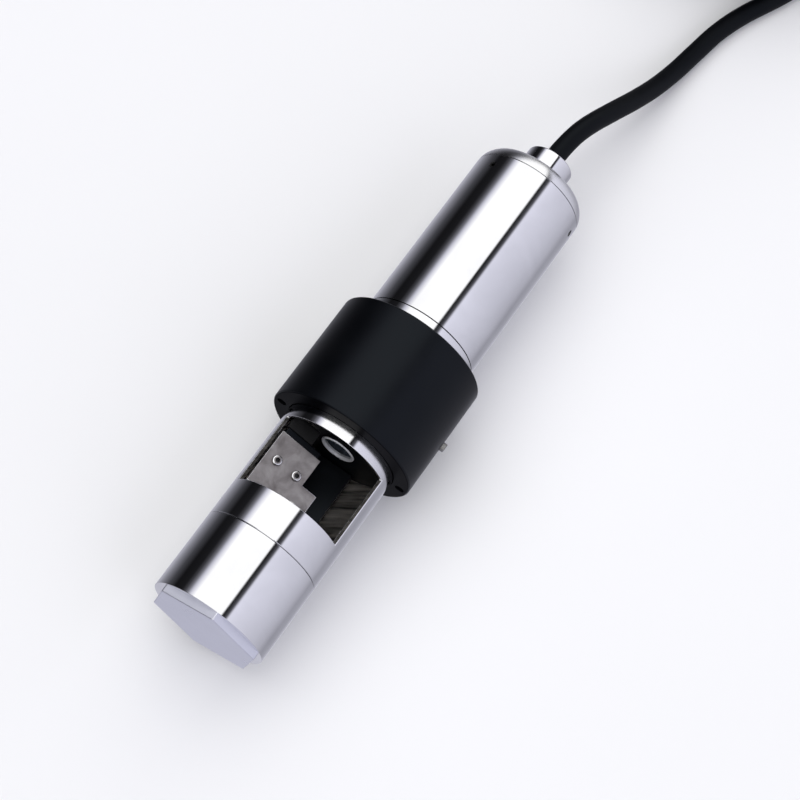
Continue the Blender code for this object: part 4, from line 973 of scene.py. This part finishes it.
def socket_screw(name, levels, high, socket, depth, sides, materials, place, sharp):
    """Screw along Z: rings of (z, radius, material) from the tip up to a hexagon socket in the top."""
    bm = bmesh.new()
    rings = [[bm.verts.new((*p, z)) for p in regular(sides, radius)] for z, radius, _ in levels]
    for lower, upper, (_, _, material) in zip(rings, rings[1:], levels[1:]):
        join_rings(bm, lower, upper, material)
    bm.faces.new(rings[0])
    mouth, bottom = (
        [bm.verts.new((*p, z)) for p in hexagon_ring(sides, socket)] for z in (high, high - depth)
    )
    # The socket's walls and floor take the second material where there is one: painted shade
    inside = 1 if len(materials) > 1 else 0
    join_rings(bm, rings[-1], mouth)
    join_rings(bm, mouth, bottom, inside)
    bm.faces.new(bottom).material_index = inside
    return finish_mesh(name, bm, materials, place, sharp)


def grub_screw(name, low, high, radius, socket, material, place):
    bevel = 0.25 * MM
    levels = [(low, radius, 0), (high - bevel, radius, 0), (high, radius - bevel, 0)]
    return socket_screw(name, levels, high, socket, 1.5 * socket, 36, [material], place, 35)


def cap_screw(name, tip, low, high, materials, place):
    """Screw with a domed head, whose last rings take the third material: a painted highlight."""
    shank, head, dome, drop = 1.4 * MM, 2.5 * MM, 0.55 * (high - low), 0.9 * MM
    levels = [(tip, shank, 0), (low, shank, 0), (low, head, 0), (low + 0.45 * (high - low), head, 0)]
    steps = 6
    for step in range(1, steps):
        angle = pi / 2 * step / steps
        painted_glint = 2 if step > 2 else 0
        levels.append((high - dome * (1 - sin(angle)), head - drop * (1 - cos(angle)), painted_glint))
    return socket_screw(name, levels, high, 1.3 * MM, 1.2 * MM, 48, materials, place, 25)


def hexagon_ring(count, corner):
    """Points along a hexagon, as many as a round ring has, so that the two join face by face."""
    points = []
    for k in range(count):
        angle = 2 * pi * k / count
        part = (angle % (pi / 3)) - pi / 6
        reach = corner * cos(pi / 6) / cos(part)
        points.append((reach * sin(angle), reach * cos(angle)))
    return points


def make_cap(steel):
    slope = [(0.0, 0.0), (0.2, 0.03), (0.42, 0.15), (0.62, 0.34), (0.8, 0.58), (0.93, 0.82), (1.0, 1.0)]
    rise, fall = 7.2 * MM, 3.4 * MM
    cone = [(RIM + GAP + rise * a, TUBE_RADIUS - fall * b) for a, b in slope]
    outline = [
        (RIM - 14 * MM, 8.3 * MM),
        (RIM - 14 * MM, 25.7 * MM),
        (RIM + GAP, 25.7 * MM),
        *cone,
        (CAP_TOP, 8.3 * MM),
    ]
    cap = turned("cap_shell", outline, steel, 0.3 * MM)
    show(cap, "probe", "polished_steel", "top_cap")


def make_gland(steel, rubber):
    thread = profile(GLAND_TOP, (-43.4, 5.5), (-43.4, 8.0))
    foot = profile(CAP_TOP + GAP, (0, 8.0), (0, 12.24), (0.5, 12.74))
    head = profile(GLAND_TOP, (-1.1, 12.74), (-0.5, 12.44), (0, 11.74), (0, 8.9), (-0.6, 8.4))
    body = thread + foot + head + profile(GLAND_TOP, (-8.3, 8.4), (-8.3, 5.5))
    gland = turned("gland_body", body, steel, 0.2 * MM, 144)
    show(gland, "probe", "polished_steel", "cable_gland")
    lip = profile(GLAND_TOP, (-8, 5.5), (-8, 8.1), (-0.6, 8.1), (-0.3, 7.5), (-0.3, 6.2), (-1, 5.5))
    grommet = turned("gland_grommet", lip, rubber, 0.15 * MM, 96)
    show(grommet, "probe", "black_rubber", "gland_seal")


def make_collar(acetal, faced, screw):
    edge = 0.7 * MM
    outline = [
        (COLLAR_START, COLLAR_BORE),
        (COLLAR_START, COLLAR_RADIUS - edge),
        (COLLAR_START + edge, COLLAR_RADIUS),
        (COLLAR_END - edge, COLLAR_RADIUS),
        (COLLAR_END, COLLAR_RADIUS - edge),
        (COLLAR_END, COLLAR_BORE),
    ]
    collar = turned("collar_body", outline, acetal, 0.25 * MM)
    hole = 2.6 * MM
    for side in (pi / 2, -pi / 2):
        centre = radial((COLLAR_RADIUS + COLLAR_BORE) / 2, side + COLLAR_TURN)
        drill(collar, hole, centre, COLLAR_START - MM, COLLAR_START + 12 * MM, (1, 2), None, 48)
    place = outwards((COLLAR_START + COLLAR_END) / 2, COLLAR_TURN - pi / 2)
    drill(collar, hole, (0, 0), 28 * MM, 45 * MM, (0, 1), place, 48)
    collar.data.materials.append(faced)
    for face in collar.data.polygons:
        if min(face.center.x - COLLAR_START, COLLAR_END - face.center.x) < GAP:
            face.material_index = len(collar.data.materials) - 1
    show(collar, "probe", "black_acetal", "mounting_collar")
    grub = grub_screw("collar_grub_screw", 31 * MM, 41.1 * MM, 2.3 * MM, 1.3 * MM, screw, place)
    show(grub, "probe", "screw_steel", "collar_set_screw")


# ---------------------------------------------------------------- sample chamber


def make_upper_bulkhead(acetal, ring_metal, glass):
    ring, thread = 9.3 * MM, 8.4 * MM
    outline = [
        (UPPER_FACE, ring + GAP),
        (UPPER_FACE, SEAT_RADIUS),
        (UPPER_BACK, SEAT_RADIUS),
        (UPPER_BACK, thread + GAP),
        (UPPER_BACK - 3 * MM, thread + GAP),
        (UPPER_BACK - 3 * MM, ring + GAP),
    ]
    bulkhead = turned("upper_bulkhead_disc", outline, acetal, 0.4 * MM, 144)
    show(bulkhead, "probe", "black_acetal", "upper_bulkhead")
    holder = profile(UPPER_FACE - GAP, (0.9, 7.9), (0.35, 8.1), (0, 8.45), (0, 8.75), (0.5, 9.3))
    holder += profile(UPPER_FACE, (7.7, 9.3), (7.7, 8.4), (17, 8.4), (17, 6.7), (5.1, 6.7), (5.1, 7.9))
    show(turned("lens_holder", holder, ring_metal, 0.2 * MM, 120), "probe", "polished_steel", "lens_ring")
    dome = [(UPPER_FACE + 3.7 * MM, 0.0), (UPPER_FACE + 3.7 * MM, 7.6 * MM)]
    edge = UPPER_FACE + 1.0 * MM
    steps = 10
    for k in range(steps + 1):
        r = 7.6 * MM * (1 - k / steps)
        crown = 0.35 * MM * (1 - (r / (7.6 * MM)) ** 2)
        dome.append((edge - crown, r))
    window = turned("lens_window", dome, glass, 0.0, 96)
    show(window, "probe", "lens_glass", "lens")


def make_lower_bulkhead(acetal):
    """Floor of the chamber, with the holes for the shaft and the duct."""
    low, high = SEAM_LOW + 7.9 * MM, station(60.6)
    outline = [(low, 0.0), (low, SEAT_RADIUS), (high, SEAT_RADIUS), (high, 0.0)]
    disc = turned("lower_bulkhead_disc", outline, acetal, 0.4 * MM, 144)
    for height, radius in ((AXIS + SHAFT_HEIGHT, 5.3 * MM), (DUCT_HOLE_HEIGHT, DUCT_HOLE)):
        drill(disc, radius, (0.0, height), low - MM, high + MM, (1, 2))
    show(disc, "probe", "black_acetal", "lower_bulkhead")


def make_duct(acetal):
    """Pillar behind the chamber that carries the motor's lead past it."""
    outer, depth, width = SEAT_RADIUS, 8.5 * MM, 22.0 * MM
    half = asin(width / 2 / outer)
    steps = 14
    arc = [radial(outer, pi + half * (2 * k / steps - 1)) for k in range(steps + 1)]
    top = AXIS + depth - outer
    outline = [*arc, (arc[-1][0], top), (arc[0][0], top)]
    duct = prism("wire_duct_pillar", outline, station(60.9), UPPER_FACE - GAP, (1, 2), acetal)
    drill(duct, DUCT_HOLE, (0.0, DUCT_HOLE_HEIGHT), station(59), UPPER_FACE + MM, (1, 2), None, 32)
    soften(duct, 0.5 * MM, 3)
    show(duct, "probe", "black_acetal", "wire_duct")


def make_wiper(sheet, screw, acetal, rubber, steel):
    back = PLATE_FRONT - SHEET
    bottom = station(66.0)
    top = WINDOW_END - 8.0 * MM
    foot_top = WINDOW_START + 15.5 * MM
    foot = 8.7 * MM
    outline = [(bottom, -foot), (bottom, PLATE_REACH), (top, PLATE_REACH)]
    outline += [(top, 0.0), (foot_top, 0.0), (foot_top, -foot)]
    bracket = prism("wiper_plate", outline, back, PLATE_FRONT, (0, 1), sheet, WIPER)
    middle = PLATE_REACH / 2 - 0.5 * MM
    spots = [middle - 5.8 * MM, middle + 5.8 * MM]
    at = WINDOW_START + 17.0 * MM
    for t in spots:
        drill(bracket, 1.7 * MM, (at, t), back - MM, PLATE_FRONT + MM, (0, 1), WIPER)
    # Bevels take the second material, the painted edge highlight
    soften(bracket, 0.3 * MM, 3, 35, 1)
    show(bracket, "wiper", "satin_steel", "wiper_bracket")
    half = 5.5 * MM
    joint = back + 0.2 * MM
    section = rectangle((-half, joint), (half, half))
    shelf = prism("wiper_shelf", section, bottom, bottom + SHEET, (1, 2), sheet, WIPER)
    drill(shelf, 1.3 * MM, (0, 0), bottom - MM, bottom + 3 * MM, (1, 2), WIPER, 32)
    soften(shelf, 0.18 * MM, 3)
    show(shelf, "wiper", "satin_steel")
    low, high = (bottom + 6 * MM, -foot, back - 2.6 * MM), (foot_top, -foot + SHEET, joint)
    tab = box("wiper_tab", low, high, sheet, WIPER, 0.18 * MM)
    show(tab, "wiper", "satin_steel")

    block_front = back - GAP
    blade_reach = blade_limit()
    low = (bottom + 8 * MM, 1.3 * MM, block_front - 5 * MM)
    high = (WINDOW_END - 4.5 * MM, blade_reach - 0.6 * MM, block_front)
    block = box("blade_clamp", low, high, acetal, WIPER, 0.5 * MM)
    show(block, "wiper", "black_acetal", "blade_block")
    blade_front = block_front - 0.6 * MM
    blade_back = blade_front - 3.2 * MM
    tip = UPPER_FACE - 0.7 * MM
    lip = [
        (WINDOW_END - 4.2 * MM, blade_back),
        (tip - 1.6 * MM, blade_back),
        (tip, blade_back + 1.1 * MM),
        (tip, blade_front - 1.1 * MM),
        (tip - 1.6 * MM, blade_front),
        (WINDOW_END - 4.2 * MM, blade_front),
    ]
    blade = prism("wiping_lip", lip, 7.5 * MM, blade_reach, (0, 2), rubber, WIPER)
    soften(blade, 0.25 * MM, 3)
    show(blade, "wiper", "black_rubber", "wiper_blade")

    for number, t in enumerate(spots, 1):
        place = WIPER @ Matrix.Translation((at, t, 0))
        low = PLATE_FRONT + 0.05 * MM
        head = cap_screw(f"plate_screw_{number}", block_front - 3.5 * MM, low, low + 1.4 * MM, screw, place)
        show(head, "wiper", "screw_steel", f"bracket_screw_{number}")

    hub = profile(station(61.0), (0, 2.3), (0, 5.0), (4.7, 5.0), (4.7, 2.3))
    hub = turned("wiper_boss", hub, steel, 0.4 * MM, 72, 0.0, WIPER)
    show(hub, "wiper", "polished_steel", "wiper_hub")


def blade_limit():
    """How far the blade reaches before it would meet the chamber's wall."""
    across = SHAFT_HEIGHT * cos(ARM_ANGLE) + PLATE_FRONT - SHEET - GAP
    return sqrt((CHAMBER_BORE - 0.8 * MM) ** 2 - across**2) - SHAFT_HEIGHT * sin(ARM_ANGLE)


# ---------------------------------------------------------------- inner nodes


def dress_inner_nodes(screw, rubber, jacket):
    """Detailed finishes on the CAD nodes whose shapes stay."""
    board_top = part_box("main_board")[0][2] + 1.65 * MM
    metal, brass = tinned_can(), bronze()
    finishes = {
        printed_board("printed_board", board_top): ["main_board"],
        printed_board("round_printed_board"): ["optic_board"],
        terminal_plastic(): ["terminal_block", "motor_plug"],
        metal: ["gearbox", "motor_can", "photodiode"],
        brass: ["shaft_bush", "optic_standoff_1", "optic_standoff_2"],
        clear_epoxy(): ["light_source_1", "light_source_2"],
        rubber: [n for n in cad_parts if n.endswith("o_ring")] + ["lens_gasket", "shaft_seal"],
        jacket: ["motor_lead", "inner_cable"],
        screw: [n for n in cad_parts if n.startswith(("board_", "motor_screw"))]
        + ["gland_nut", "lens_nut", "motor_plate", "wiper_shaft", "hub_screw"],
    }
    for finish, names in finishes.items():
        for name in names:
            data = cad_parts[name].data
            data.materials.clear()
            data.materials.append(finish)


make_camera()
make_cable()
make_stage()
make_world()
make_lights()

STEEL = polished_steel("polished_steel")
ACETAL = black_acetal()
RUBBER = black_rubber()
SCREW = screw_steel()
DARK_SCREW = screw_steel("blackened_screw_steel", 0.06)
make_lower_housing(STEEL, milled_steel())
# Lighter steel for the bevels of the tube, the wiper plate and its screws: a painted edge highlight
EDGE_HIGHLIGHT = painted_edge_highlight()
# A near-black copy of the bore steel paints shade on the window's side faces
make_chamber_tube(STEEL, bore_steel(), bore_steel("window_side_painted_shade_steel", 0.02, 0.05, 0.11), EDGE_HIGHLIGHT)
make_upper_housing(STEEL, DARK_SCREW)
make_cap(polished_steel("cap_steel", (0.88, 0.88, 0.89), 0.2, 0.3))
make_gland(STEEL, RUBBER)
make_collar(ACETAL, black_acetal("faced_acetal", 0.01), screw_steel("collar_screw_steel", 0.3))
make_upper_bulkhead(ACETAL, ring_alloy(), lens_glass())
make_lower_bulkhead(ACETAL)
make_duct(ACETAL)
SHEET_STEEL = sheet_steel()
# The plate's bevels and the screws' rims get the painted edge highlight, the screws' sockets painted shade
make_wiper([SHEET_STEEL, EDGE_HIGHLIGHT], [SHEET_STEEL, socket_shadow(), EDGE_HIGHLIGHT], ACETAL, RUBBER, STEEL)
dress_inner_nodes(SCREW, RUBBER, bpy.data.materials["cable_jacket"])
